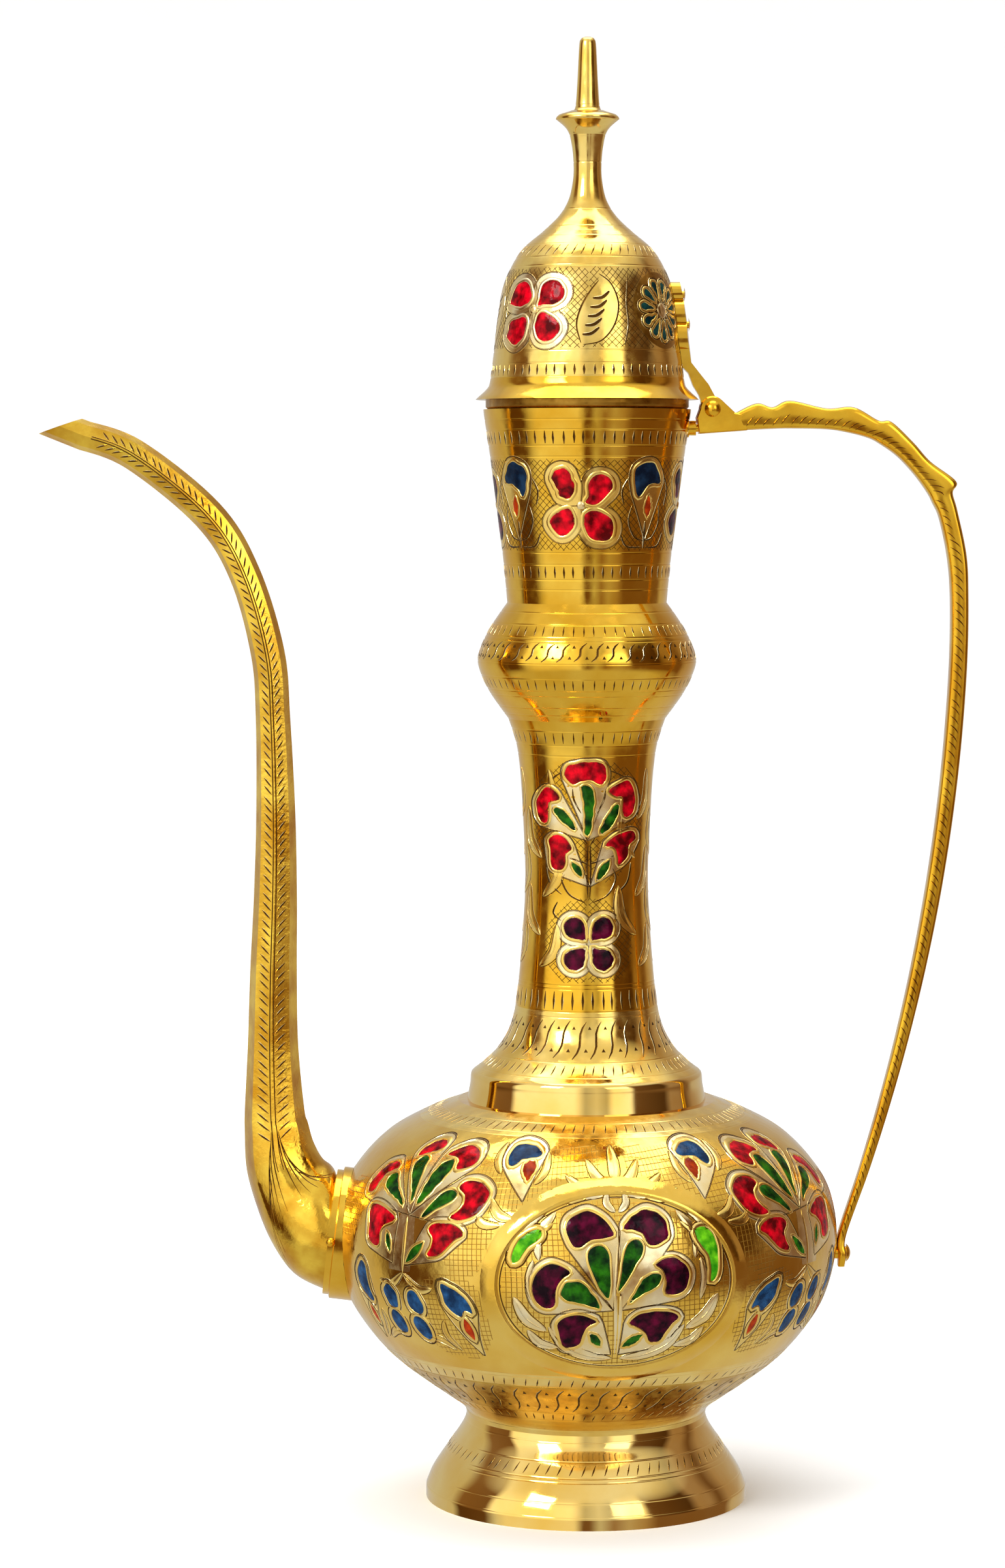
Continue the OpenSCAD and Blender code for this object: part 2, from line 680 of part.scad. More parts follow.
// Places a flat shape on the vessel's side, a degrees round from the front, at a height
module facing(a, z, from_r) {
    rotate(a) translate([0, -from_r, z]) rotate([90, 0, 0]) linear_extrude(belly_r) children();
}

// Lid: red flowers and dark green daisies in turn
lid_flower_a = [-38, 142];
lid_daisy_a = [55, 235];
lid_flower_z = lid_z + 22.5;
daisy_cells = 11;

lid_petals = [
    [[1.4, 0.9], [3.1, 1.2], [5.4, 1.3], [7.6, 2.4], [8.3, 4.1], [7.7, 5.6], [6.2, 7], [4.2, 7.4],
     [2.4, 6.7], [1.8, 5], [1.8, 2.8]],
    [[1.8, -1.3], [1, -3.4], [1, -4.4], [1.7, -6.4], [2.8, -7.7], [4.8, -8.1], [6.1, -7.6],
     [7.3, -6.2], [7.9, -4.5], [7.1, -3], [5.7, -1.9], [3.1, -0.8]],
    [[-5, 0.9], [-3, 1.3], [-1.6, 2], [-0.9, 3.4], [-1.5, 5.3], [-2.6, 6.7], [-4, 7.3], [-5.6, 7.1],
     [-7.2, 6.1], [-8.1, 4.5], [-8.9, 2.4], [-8.5, 1.6]],
    [[-3.5, -1.7], [-5.1, -2.1], [-7.3, -2.6], [-8.6, -3.5], [-8.7, -5], [-9.3, -6.4], [-8.5, -7.4],
     [-6.8, -8.5], [-5.3, -8.8], [-4, -8.2], [-2.8, -7], [-2.2, -5.3], [-1.7, -3.4], [-2.2, -2.2]]];

module lid_red_enamel() {
    enamel(dome_out, "red") for (a = lid_flower_a)
        facing(a, lid_flower_z, dome_top_r) cells(lid_petals);
}

module lid_teal_enamel() {
    enamel(dome_out, "darkslategray") for (a = lid_daisy_a)
        facing(a, lid_flower_z, dome_top_r)
            for (k = [0 : daisy_cells - 1])
                rotate(360 * (k + 0.5) / daisy_cells) translate([0, 3]) drop(4.6, 1.9);
}

// Mouth cup: red and purple flowers in turn, with a bud between that bends to the flower before it
// or after it
cup_flower_z = cup_z + 25.2;
cup_flower_a = -5;
cup_bud_a = 44;

cup_petals = [
    [[-7.4, 7.3], [-7, 5.8], [-5.8, 4], [-5.4, 2.4], [-4, 1.8], [-2.8, 2], [-2, 3.1], [-1.6, 4.8],
     [-2.4, 7], [-3.2, 8.8], [-5.1, 9.4], [-6.7, 8.7]],
    [[1.2, 0.9], [2, 0.4], [3.6, 0.1], [5.5, 1.5], [7.2, 3.1], [8, 4.5], [7.7, 6.5], [6.4, 7.6],
     [4.7, 7.9], [3.1, 7.3], [2.1, 5.4], [2, 2.6]],
    [[-8, -4.1], [-7.7, -5.2], [-6.7, -6.6], [-5.4, -7.6], [-3.7, -7.4], [-2.1, -5.7], [-1.6, -4.1],
     [-2.1, -2.1], [-2.9, -0.8], [-3.9, -0.8], [-5.7, -1.6], [-7.3, -2.7]],
    [[1, -2.1], [0.9, -3.8], [1, -5.5], [2, -7.7], [3.6, -8.9], [6.1, -8.9], [7.7, -7.7],
     [8.3, -5.5], [7.7, -3.5], [6.4, -2.4], [4.5, -1.6], [2.5, -1.3]]];
cup_bud = [
    [[-4.4, 7.6], [-3.8, 4.5], [-3, 2.4], [-2.1, 2.4], [-0.9, 4.2], [0.8, 5.5], [4.1, 5.6], [4.2, 7],
     [3, 9], [1.4, 10.7], [-1.3, 10.9], [-3.8, 9.7]]];

module cup_red_enamel() {
    enamel(cup_out, "red") for (k = [0, 180])
        facing(cup_flower_a + k, cup_flower_z, cup_low_r / 2) cells(cup_petals);
}

module cup_purple_enamel() {
    enamel(cup_out, "purple") for (k = [90, 270])
        facing(cup_flower_a + k, cup_flower_z, cup_low_r / 2) cells(cup_petals);
}

module on_cup_buds() {
    for (side = [0, 1], k = [0, 180])
        facing(cup_flower_a + cup_bud_a - 90 * side + k, cup_flower_z, cup_low_r / 2)
            mirror([side, 0]) children();
}

module cup_blue_enamel() {
    enamel(cup_out, "midnightblue") on_cup_buds() cells(cup_bud);
}

module cup_orange_enamel() {
    enamel(cup_out, "orangered") on_cup_buds() translate([0.6, -3.2]) lens(5.8, 2);
}

// Neck: a tall bouquet over a purple flower, front and back
neck_panel_a = [1, 181];
bouquet_z = neck_z + 0.772 * neck_h;
neck_flower_z = neck_z + 0.424 * neck_h;

neck_petals = [
    [[-6.2, 9.6], [-5.8, 7.8], [-4, 6.6], [-2.2, 7.3], [-0.4, 7.6], [1.6, 7.2], [3.4, 6.5], [4.5, 8.6],
     [4.2, 10.6], [3, 12.2], [0, 12.3], [-3, 12], [-5.6, 11.2]],
    [[-7.9, 2.5], [-7.9, 3.6], [-8.7, 4.7], [-10.1, 5.5], [-11.3, 5.3], [-12.5, 3.9], [-13.3, 1.9],
     [-13.2, -0.6], [-12.8, -2.3], [-11.8, -3.6], [-10.8, -3.6], [-10.4, -2.6], [-10.5, -0.6],
     [-10.4, 1.1], [-9.9, 1.8]],
    [[5.2, 4.6], [7, 3.3], [8.6, 3.2], [8.9, 1.6], [8.7, -0.6], [9.6, -2.2], [11.3, -1.2], [12, 0.8],
     [12, 3], [11.3, 5.9], [10, 7.4], [7.9, 6.7], [5.9, 5.7]],
    [[-10.4, -8.5], [-9.7, -10.5], [-9.7, -13.6], [-9.2, -15.3], [-8.2, -15.8], [-7, -15.7],
     [-6.3, -14.4], [-6.1, -11.9], [-5.1, -10.9], [-4.4, -10.2], [-5.4, -8.2], [-6.5, -7.2],
     [-8.6, -6.7], [-10.1, -7.5]],
    [[4.2, -9.4], [5.9, -9.6], [7, -10.5], [7.5, -12.2], [7.7, -14.4], [9.6, -13], [10.3, -11.6],
     [10.4, -9.5], [11.5, -8.6], [12.3, -7.9], [11.5, -5.8], [7.9, -6.4], [5.9, -7.5]]];
neck_leaves = [
    [[-2, 5.9], [-1.7, 4.2], [-1.3, 2.5], [-1, -0.6], [-1, -3.7], [-1, -6.1], [0, -6.5], [0.6, -4.3],
     [1.1, -0.6], [1.3, 3], [0.8, 5], [-0.3, 6.4]],
    [[-8.9, 0.2], [-8.9, -0.6], [-8.2, -1.7], [-6.2, -3.7], [-4.2, -5.1], [-3.4, -5.1], [-4.6, -2.6],
     [-5.9, -0.9], [-7.9, 0.4]],
    [[3, -6.3], [3.9, -6], [5.4, -4.8], [6.8, -2.9], [7.7, -0.3], [7.7, 1.1], [6.8, 1.1], [4.8, -1.7],
     [3.1, -4.8]]];

module on_neck(z) {
    for (a = neck_panel_a) facing(a, z, waist_r / 3) children();
}

module neck_red_enamel() {
    enamel(neck_out, "firebrick") on_neck(bouquet_z) cells(neck_petals);
}

module neck_green_enamel() {
    enamel(neck_out, "forestgreen") on_neck(bouquet_z) {
        cells(neck_leaves);
        translate([-1.6, -17.4]) rotate(36) lens(4.8, 1.7);
        translate([2, -18.5]) rotate(-32) lens(6.6, 2);
    }
}

module neck_purple_enamel() {
    enamel(neck_out, "indigo") on_neck(neck_flower_z) quartet(3.8, 4.2, 4.2, 7, 5.4);
}

// Belly: a medallion front and back, with a bouquet each side of it and a bud above the gap
panel_a = 6;
panels = [panel_a, 180 - panel_a];
bouquet_a = 52;
bud_a = 25;
medallion_z = widest_z + 0.5;
belly_bouquet_z = widest_z + 8;
bud_z = widest_z + 23;

medallion_petals = [
    [[1.6, 12.8], [4.3, 12.3], [6.2, 11.4], [7.1, 10], [8, 8.6], [9.8, 8.7], [12.4, 10.2],
     [12.6, 12.5], [11.8, 14.7], [10.1, 16.1], [7.4, 17], [5.1, 16.2], [3.2, 15]],
    [[-1.1, 11.2], [-1.4, 12.4], [-2.6, 14.2], [-4.5, 15.8], [-7.2, 16.9], [-9.9, 16.1], [-12, 14.8],
     [-12.7, 12.8], [-12.2, 10.8], [-11, 8.5], [-9.2, 8.4], [-8.1, 9.3], [-6.4, 10.2], [-3.7, 10.5]],
    [[9.2, 3.9], [10.7, 2.9], [11.7, 1.4], [12.2, -0.9], [12, -3.6], [14.9, -3.9], [17, -2.5],
     [17.9, -0.2], [17.9, 2], [16.4, 4], [14.1, 5.2], [11.4, 5.1]],
    [[-12, 2], [-13.1, 3.1], [-16.5, 4.3], [-19.2, 2.8], [-20.8, 0.5], [-21.2, -2], [-20.4, -5],
     [-18.8, -6.7], [-16.8, -7], [-15.6, -6], [-15.6, -3.9], [-15.2, -1.2], [-13.8, 0.6]],
    [[3, -10.8], [4.4, -11.8], [6, -12.6], [7.4, -14.1], [8.2, -15.9], [9.6, -16.4], [11, -15.9],
     [12.3, -13.8], [13.9, -11.6], [15.4, -10], [14, -8.7], [10.9, -8.1], [7.7, -8.2], [5, -8.9]],
    [[-5.2, -10.5], [-7.3, -9.3], [-10, -8.7], [-13.1, -9.4], [-14.9, -11.2], [-14.4, -13.3],
     [-13.8, -15.5], [-12.9, -17.4], [-10.8, -17.4], [-9.2, -16.4], [-8.6, -14.1], [-7.6, -11.8]]];
medallion_leaves = [
    [[0, -2.6], [2.6, 1], [4.4, 4.2], [5.8, 6.2], [6.2, 8.4], [5.2, 9.9], [3.6, 9.9], [2.2, 8.6],
     [1.2, 5.4], [0.6, 1]],
    [[-2.5, -4.4], [-2.1, -0.4], [-2.2, 3.4], [-2.4, 6.6], [-3.4, 8.3], [-5.3, 8.7], [-7.2, 7.6],
     [-7.6, 5.5], [-6.3, 1.8], [-4.4, -2.2]],
    [[2.6, -5.8], [4.6, -4.4], [7, -3], [9.4, -1.8], [10.6, -0.2], [10.6, 1.2], [9.3, 1.7], [7.5, 1.2],
     [5.8, -0.2], [4.1, -3.2]],
    [[-4.7, -7], [-5.2, -5], [-6.9, -2.8], [-8.8, -0.7], [-10.8, 0], [-12.9, -0.4], [-13.9, -2.1],
     [-14.1, -3.7], [-12.3, -5], [-7, -6.2]]];
medallion_side_leaves = [
    [[19.5, 11], [21.5, 7.6], [23.3, 5], [23.8, 2], [23.6, -1.2], [24.6, -0.8], [25.6, 1.4], [25.6, 5],
     [25.2, 8.4], [24.2, 10.6], [22.4, 12.1], [20.3, 12.2]],
    [[-25.9, 4], [-24.4, 4.8], [-23.4, 6.6], [-21.9, 8.4], [-20, 9.6], [-18.8, 11], [-19, 12.2],
     [-20.8, 12.1], [-23, 10.8], [-24.7, 9], [-26, 5.8]]];

// The bouquet on the spout's side, with the medallion to its right
bouquet_petals = [
    [[2.4, 19.9], [5.6, 19.7], [7.4, 19], [7.6, 18], [8.6, 17], [11.4, 17.9], [12.5, 19.2],
     [11.4, 20.9], [9.2, 22], [6.4, 22.2], [3.8, 21.2]],
    [[-7.4, 18.6], [-5.4, 19.3], [-3.4, 20], [-1.6, 20.6], [-0.8, 21.6], [-1.8, 22.4], [-4, 22.5],
     [-6.2, 21.6], [-7.6, 20]],
    [[12.3, 13.2], [14.8, 11.7], [15.8, 9.6], [15, 7.8], [13.4, 6.3], [15.4, 5.8], [17.8, 6.2],
     [20.2, 7.6], [21.2, 10], [21.2, 12.4], [18.6, 14.4], [16, 15], [13.2, 14.6]],
    [[7.9, 2.8], [9.5, 1], [9.4, -1.2], [8.3, -3.5], [10.4, -3.5], [12.6, -2.6], [14.6, -0.6],
     [16.3, 1.2], [18.1, 2.6], [15, 4.6], [12, 4.8], [9, 4.2]],
    [[-12, 16], [-13.4, 16.5], [-17.2, 15.4], [-19.8, 13], [-21.2, 10.6], [-20.8, 9], [-18.8, 8.5],
     [-17.4, 9.8], [-16.8, 12], [-15, 14], [-12.6, 14.9]],
    [[-16.3, 5], [-15.4, 1.6], [-14.8, -2], [-12, -3.4], [-9.8, -2.9], [-9.8, 0], [-8.6, 1.8],
     [-6.6, 2.9], [-4.6, 4], [-6.8, 5.2], [-11, 6.3], [-14.6, 6.3]]];
bouquet_leaves = [
    [[1.7, 8.2], [3.6, 10], [5.2, 13], [6.4, 15.6], [6.7, 17.6], [5.8, 18.8], [3.8, 18.6], [2.2, 16.6],
     [1.7, 13.8], [1.6, 10.6]],
    [[-0.6, 8.5], [-0.6, 10.8], [-1.4, 13.8], [-2.2, 16.4], [-2.6, 18.3], [-4, 18.9], [-5.8, 18.4],
     [-6.4, 17], [-5.4, 14.8], [-3.6, 12.8], [-2, 11]],
    [[4.6, 5.4], [6.2, 6], [8.2, 7.7], [10.4, 9], [12.4, 10.4], [12.6, 11.8], [10.8, 12.5],
     [8.6, 11.8], [7, 9.8], [5.4, 7.2]],
    [[-3, 7.2], [-4.4, 9], [-7.4, 11], [-9.2, 12.6], [-10.4, 14], [-12.4, 14], [-13.8, 12.6],
     [-13.2, 11], [-10, 9.6], [-6.2, 8.6]]];
low_buds = [
    [[12.5, -10.4], [12.8, -13.4], [13.4, -15.8], [15.8, -18], [17.2, -18.3], [18.1, -16.9],
     [19, -16.7], [20.5, -17.2], [19.6, -14.2], [17.3, -12], [14.8, -10.9]],
    [[-19.6, -9.4], [-21.2, -12], [-20.6, -15.2], [-18, -17.2], [-15.4, -18.6], [-14.2, -18],
     [-15.4, -15.4], [-16, -12.6], [-16.2, -9.6], [-18, -8.4]]];
low_flower = [[-5.9, -15.8], [3.1, -16.3], [-5, -22.5], [3.5, -23]];
top_bud = [
    [[-3.8, 5.1], [-2.5, 3.7], [-1.2, 4.4], [-0.3, 5.4], [1.5, 5.6], [4.3, 6.3], [3.9, 7.1], [2.3, 7.9],
     [0, 8.4], [-2, 8.3], [-3.6, 7.4]]];

module on_belly(a, z) {
    for (p = panels) facing(p + a, z, belly_r / 3) children();
}

// The same shape each side of both medallions
module beside(a, z) {
    for (side = [1, -1]) on_belly(side * a, z) mirror([side > 0 ? 1 : 0, 0]) children();
}

module belly_purple_enamel() {
    enamel(belly_out, "purple") on_belly(0, medallion_z) cells(medallion_petals);
}

module belly_green_enamel() {
    enamel(belly_out, "green") {
        on_belly(0, medallion_z) {
            cells(medallion_leaves);
            translate([1.3, -17.4]) rotate(-57) lens(6.2, 2);
            translate([-4, -17.1]) rotate(38) lens(4.6, 2);
        }
        beside(bouquet_a, belly_bouquet_z) {
            cells(bouquet_leaves);
            translate([1.2, -6.2]) rotate(-44) lens(8, 2.2);
            translate([-5, -4.2]) rotate(22) lens(5.2, 1.7);
        }
    }
}

module belly_lime_enamel() {
    enamel(belly_out, "limegreen") on_belly(0, medallion_z) cells(medallion_side_leaves);
}

module belly_red_enamel() {
    enamel(belly_out, "crimson") beside(bouquet_a, belly_bouquet_z) cells(bouquet_petals);
}

module belly_blue_enamel() {
    enamel(belly_out, "royalblue") {
        beside(bud_a, bud_z) cells(top_bud);
        beside(bouquet_a, belly_bouquet_z) {
            cells(low_buds);
            for (p = low_flower) translate(p) rotate(30) oval(6.4, 4.8);
        }
    }
}

module belly_orange_enamel() {
    enamel(belly_out, "orangered") {
        beside(bud_a, bud_z) translate([2.8, 0.6]) rotate(8) drop(4.6, 3.2);
        beside(bouquet_a, belly_bouquet_z) {
            translate([18.8, -24.6]) rotate(10) lens(6, 2.2);
            translate([-14.8, -24.8]) rotate(25) lens(5.8, 1.8);
        }
    }
}

foot_ring();
belly();
neck_tube();
neck_knop();
mouth_cup();
lid_skirt();
lid_dome();
lid_finial();
lid_strap();
strap_rivets();
hinge_pin();
handle();
handle_lug();
handle_rivet();
spout();
spout_flange();
spout_pin();
lid_red_enamel();
lid_teal_enamel();
cup_red_enamel();
cup_purple_enamel();
cup_blue_enamel();
cup_orange_enamel();
neck_red_enamel();
neck_green_enamel();
neck_purple_enamel();
belly_purple_enamel();
belly_green_enamel();
belly_lime_enamel();
belly_red_enamel();
belly_blue_enamel();
belly_orange_enamel();
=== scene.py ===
"""Dressed model of a brass ewer: turned and chased brass, fired enamel, a cast handle, a faceted spout.

Lengths are millimetres in the part's own frame, and metres in the studio. The vessel stands on z = 0
about the Z axis, the spout points to -X and the handle to +X. Angles on the vessel are degrees round
the axis from the front, -Y, and grow towards +X.
"""

import logging
import math
from dataclasses import dataclass, field
from enum import Enum
from typing import Callable, Iterable, Sequence

import bpy
import numpy as np
from mathutils.geometry import delaunay_2d_cdt
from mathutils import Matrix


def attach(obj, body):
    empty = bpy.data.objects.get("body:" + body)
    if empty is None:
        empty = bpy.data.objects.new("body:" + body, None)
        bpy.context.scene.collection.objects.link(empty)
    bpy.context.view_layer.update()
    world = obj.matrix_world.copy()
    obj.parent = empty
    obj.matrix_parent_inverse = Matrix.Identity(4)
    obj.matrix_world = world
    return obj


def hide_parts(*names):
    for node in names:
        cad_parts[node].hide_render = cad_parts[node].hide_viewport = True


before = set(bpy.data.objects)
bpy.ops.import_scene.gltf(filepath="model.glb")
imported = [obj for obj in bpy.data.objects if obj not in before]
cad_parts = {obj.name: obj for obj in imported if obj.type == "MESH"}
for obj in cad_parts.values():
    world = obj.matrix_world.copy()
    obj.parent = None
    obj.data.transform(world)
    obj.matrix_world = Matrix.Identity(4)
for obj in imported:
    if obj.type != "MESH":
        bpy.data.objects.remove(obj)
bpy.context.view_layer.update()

LOG = logging.getLogger("ewer")
MM = 0.001
SEED = 7
SEGMENTS = 192
TINY = 1e-9
Array = np.ndarray
Point = tuple[float, float]
Line = Sequence[Point]
Runs = tuple[Line, ...]
Sizes = tuple[float, ...]
Leaf = tuple[float, Line]
Colour = Sequence[float]
Node, Socket = bpy.types.Node, bpy.types.NodeSocket
Material, Object = bpy.types.Material, bpy.types.Object
Place = Callable[[Array, Array, Array], Array]


class Body(Enum):
    """Moving bodies of the part."""

    VESSEL = "vessel"
    LID = "lid"


class Metal(Enum):
    """Brass finishes, in the order of the material slots on a brass piece."""

    POLISHED = 0
    PALE = 1
    MIRROR = 2
    GROUND = 3
    BRIGHT = 4
    # Near-black: patina in the engraved lines, and painted groove shade, as the lines are drawn raised
    DARK = 5
    CAST = 6
    # Dark brown for scored hatching and grounds, and painted shade on the lid's skirt under the flare
    SCORED = 7
    GILT = 8
    BEATEN = 9


class Tint(Enum):
    """Enamel colours."""

    RED = "red"
    TEAL = "teal"
    PURPLE = "purple"
    BLUE = "blue"
    NAVY = "navy"
    ORANGE = "orange"
    GREEN = "green"
    LIME = "lime"


# Finishes


class Nodes:
    """Short forms for wiring a node tree."""

    def __init__(self, tree: bpy.types.NodeTree) -> None:
        """Starts from an emptied tree."""
        self.tree = tree
        tree.nodes.clear()

    def add(self, kind: str, **values: object) -> Node:
        """Adds a node and sets its properties.

        Args:
            kind: The node's type name.
            values: Properties to set on it.

        Returns:
            The new node.
        """
        node = self.tree.nodes.new(kind)
        for key, value in values.items():
            setattr(node, key, value)
        return node

    def link(self, out: Socket, into: Socket) -> None:
        """Joins two sockets."""
        self.tree.links.new(out, into)

    def noise(self, fineness: float, detail: float = 3.0) -> Socket:
        """Adds noise over the object's own coordinates.

        Args:
            fineness: Scale of the noise.
            detail: How many finer layers it has.

        Returns:
            The value socket.
        """
        where = self.add("ShaderNodeTexCoord")
        node = self.add("ShaderNodeTexNoise")
        node.inputs["Scale"].default_value = fineness
        node.inputs["Detail"].default_value = detail
        self.link(where.outputs["Object"], node.inputs["Vector"])
        return node.outputs["Fac"]

    def ramp(self, value: Socket, stops: Sequence[tuple[float, Colour]]) -> Socket:
        """Adds a colour ramp on a value.

        Args:
            value: The socket to read.
            stops: Positions and their colours.

        Returns:
            The colour socket.
        """
        node = self.add("ShaderNodeValToRGB")
        elements = node.color_ramp.elements
        elements[0].position, elements[1].position = stops[0][0], stops[-1][0]
        elements[0].color, elements[1].color = (*stops[0][1], 1.0), (*stops[-1][1], 1.0)
        for at, colour in stops[1:-1]:
            elements.new(at).color = (*colour, 1.0)
        self.link(value, node.inputs["Fac"])
        return node.outputs["Color"]

    def bump(self, strength: float, depth: float, fineness: float) -> Socket:
        """Adds a fine unevenness.

        Args:
            strength: How much of it shows.
            depth: Its depth in millimetres.
            fineness: Scale of its noise.

        Returns:
            The normal socket.
        """
        node = self.add("ShaderNodeBump")
        node.inputs["Strength"].default_value = strength
        node.inputs["Distance"].default_value = depth * MM
        self.link(self.noise(fineness, 2.0), node.inputs["Height"])
        return node.outputs["Normal"]

    def reckon(self, operation: str, *values: Socket | float) -> Socket:
        """Adds a sum on sockets and plain numbers.

        Args:
            operation: The kind of sum.
            values: What goes into it, in order.

        Returns:
            The value socket.
        """
        node = self.add("ShaderNodeMath", operation=operation)
        for socket, value in zip(node.inputs, values):
            if isinstance(value, float):
                socket.default_value = value
            else:
                self.link(value, socket)
        return node.outputs["Value"]


def new_material(name: str) -> tuple[Material, Nodes, Node]:
    """Starts a material with one shader.

    Args:
        name: Its name.

    Returns:
        The material, its nodes and its shader.
    """
    made = bpy.data.materials.new(name)
    made.use_nodes = True
    nodes = Nodes(made.node_tree)
    out, shader = nodes.add("ShaderNodeOutputMaterial"), nodes.add("ShaderNodeBsdfPrincipled")
    nodes.link(shader.outputs["BSDF"], out.inputs["Surface"])
    return made, nodes, shader


def grey(tone: float) -> Colour:
    """The grey of one tone."""
    return (tone, tone, tone)


@dataclass(frozen=True)
class BrassFinish:
    """A brass surface with patches of tarnish and a worn grain."""

    name: str
    tone: Colour
    tarnish: Colour
    rough: float
    grain: float = 90.0
    spread: float = 0.1
    bump: float = 0.02

    PATCHES = (0.32, 0.5, 0.64)
    WEAR = (0.35, 0.65)
    WEAR_FINENESS = 3.3
    BUMP_FINENESS = 8.0
    BUMP_DEPTH = 0.2
    LEAST_ROUGH = 0.03

    def material(self) -> Material:
        """Builds the procedural material.

        Returns:
            The material.
        """
        made, nodes, shader = new_material(self.name)
        shader.inputs["Metallic"].default_value = 1.0
        mid = [0.5 * (a + b) for a, b in zip(self.tone, self.tarnish)]
        patches = list(zip(self.PATCHES, (self.tarnish, mid, self.tone)))
        nodes.link(nodes.ramp(nodes.noise(self.grain, 5.0), patches), shader.inputs["Base Color"])
        rough = (max(self.LEAST_ROUGH, self.rough - self.spread), self.rough + self.spread)
        wear = [(at, grey(tone)) for at, tone in zip(self.WEAR, rough)]
        grain = nodes.noise(self.grain * self.WEAR_FINENESS, 4.0)
        nodes.link(nodes.ramp(grain, wear), shader.inputs["Roughness"])
        bump = nodes.bump(self.bump, self.BUMP_DEPTH, self.grain * self.BUMP_FINENESS)
        nodes.link(bump, shader.inputs["Normal"])
        return made


@dataclass(frozen=True)
class EnamelFinish:
    """Fired glass on brass: mottled colour under a clear gloss, with the name of one of the record's slots.
    """

    slot: str
    name: str
    deep: Colour
    pale: Colour
    rough: float = 0.16
    rough_spread: float = 0.14
    specular: float = 0.02
    coat: float = 0.13
    coat_rough: float = 0.07
    ripple: float = 0.35

    MOTTLES = (0.38, 0.52, 0.66)
    MOTTLE_FINENESS = 330.0
    WEAR = (0.3, 0.7)
    WEAR_FINENESS = 700.0
    RIPPLE_DEPTH = 0.5
    RIPPLE_FINENESS = 420.0

    def material(self) -> Material:
        """Builds the procedural material.

        Returns:
            The material.
        """
        made, nodes, shader = new_material(self.name)
        shader.inputs["Specular IOR Level"].default_value = self.specular
        shader.inputs["Coat Weight"].default_value = self.coat
        shader.inputs["Coat Roughness"].default_value = self.coat_rough
        bump = nodes.bump(self.ripple, self.RIPPLE_DEPTH, self.RIPPLE_FINENESS)
        for socket in ("Normal", "Coat Normal"):
            nodes.link(bump, shader.inputs[socket])
        mid = [0.6 * a + 0.4 * b for a, b in zip(self.deep, self.pale)]
        mottles = list(zip(self.MOTTLES, (self.deep, mid, self.pale)))
        nodes.link(nodes.ramp(nodes.noise(self.MOTTLE_FINENESS, 4.0), mottles), shader.inputs["Base Color"])
        rough = (self.rough, self.rough + self.rough_spread)
        wear = [(at, grey(tone)) for at, tone in zip(self.WEAR, rough)]
        nodes.link(nodes.ramp(nodes.noise(self.WEAR_FINENESS), wear), shader.inputs["Roughness"])
        return made


METALS = {
    Metal.POLISHED: BrassFinish("polished_brass", (0.87, 0.53, 0.06), (0.76, 0.4, 0.025), 0.12),
    Metal.PALE: BrassFinish("pale_brass", (0.92, 0.67, 0.2), (0.84, 0.52, 0.09), 0.17),
    Metal.MIRROR: BrassFinish("mirror_brass", (0.92, 0.67, 0.23), (0.86, 0.53, 0.1), 0.06, 50.0, 0.03, 0.006),
    Metal.GROUND: BrassFinish("chased_ground", (0.82, 0.52, 0.08), (0.52, 0.28, 0.02), 0.3, 160.0),
    Metal.BRIGHT: BrassFinish("bright_edges", (0.94, 0.8, 0.48), (0.87, 0.62, 0.22), 0.2, 120.0),
    # Engraved lines, hatching and dots: patina, and painted groove shade, because the strokes are raised and
    # not cut in
    Metal.DARK: BrassFinish("engraved_lines", (0.1, 0.045, 0.008), (0.04, 0.016, 0.003), 0.5, 200.0),
    Metal.CAST: BrassFinish("cast_brass", (0.88, 0.51, 0.036), (0.73, 0.35, 0.016), 0.17, 70.0, 0.06, 0.05),
    # Scored hatching and grounds, and painted shade on the lid's skirt where the flare hangs over it
    Metal.SCORED: BrassFinish("scored_brass_and_painted_shade", (0.5, 0.27, 0.04), (0.26, 0.12, 0.012), 0.35, 160.0),
    Metal.GILT: BrassFinish("gilt_brass", (0.9, 0.6, 0.12), (0.8, 0.46, 0.05), 0.13, 60.0, 0.1, 0.25),
    Metal.BEATEN: BrassFinish(
        "beaten_brass", (0.94, 0.62, 0.07), (0.6, 0.28, 0.015), 0.11, 110.0, 0.06, 0.25
    ),
}
ENAMELS = {
    Tint.RED: EnamelFinish("red_enamel", "red_glass", (0.06, 0.0003, 0.001), (0.58, 0.0008, 0.01)),
    Tint.TEAL: EnamelFinish("teal_enamel", "teal_glass", (0.002, 0.009, 0.01), (0.008, 0.05, 0.042)),
    Tint.PURPLE: EnamelFinish("purple_enamel", "purple_glass", (0.005, 0.0003, 0.002), (0.08, 0.0008, 0.017)),
    Tint.BLUE: EnamelFinish("blue_enamel", "blue_glass", (0.003, 0.015, 0.045), (0.013, 0.065, 0.17)),
    Tint.NAVY: EnamelFinish("blue_enamel", "navy_glass", (0.002, 0.005, 0.013), (0.007, 0.022, 0.05)),
    Tint.ORANGE: EnamelFinish("orange_enamel", "orange_glass", (0.15, 0.008, 0.001), (0.4, 0.04, 0.002)),
    Tint.GREEN: EnamelFinish("green_enamel", "green_glass", (0.0012, 0.011, 0.0015), (0.015, 0.11, 0.003)),
    Tint.LIME: EnamelFinish("lime_enamel", "lime_glass", (0.015, 0.17, 0.002), (0.14, 0.5, 0.01)),
}


class Palette:
    """Materials made once and shared by the pieces."""

    def __init__(self) -> None:
        """Builds every finish."""
        self.metals = [METALS[m].material() for m in Metal]
        self.enamels = {t: f.material() for t, f in ENAMELS.items()}


# Meshes


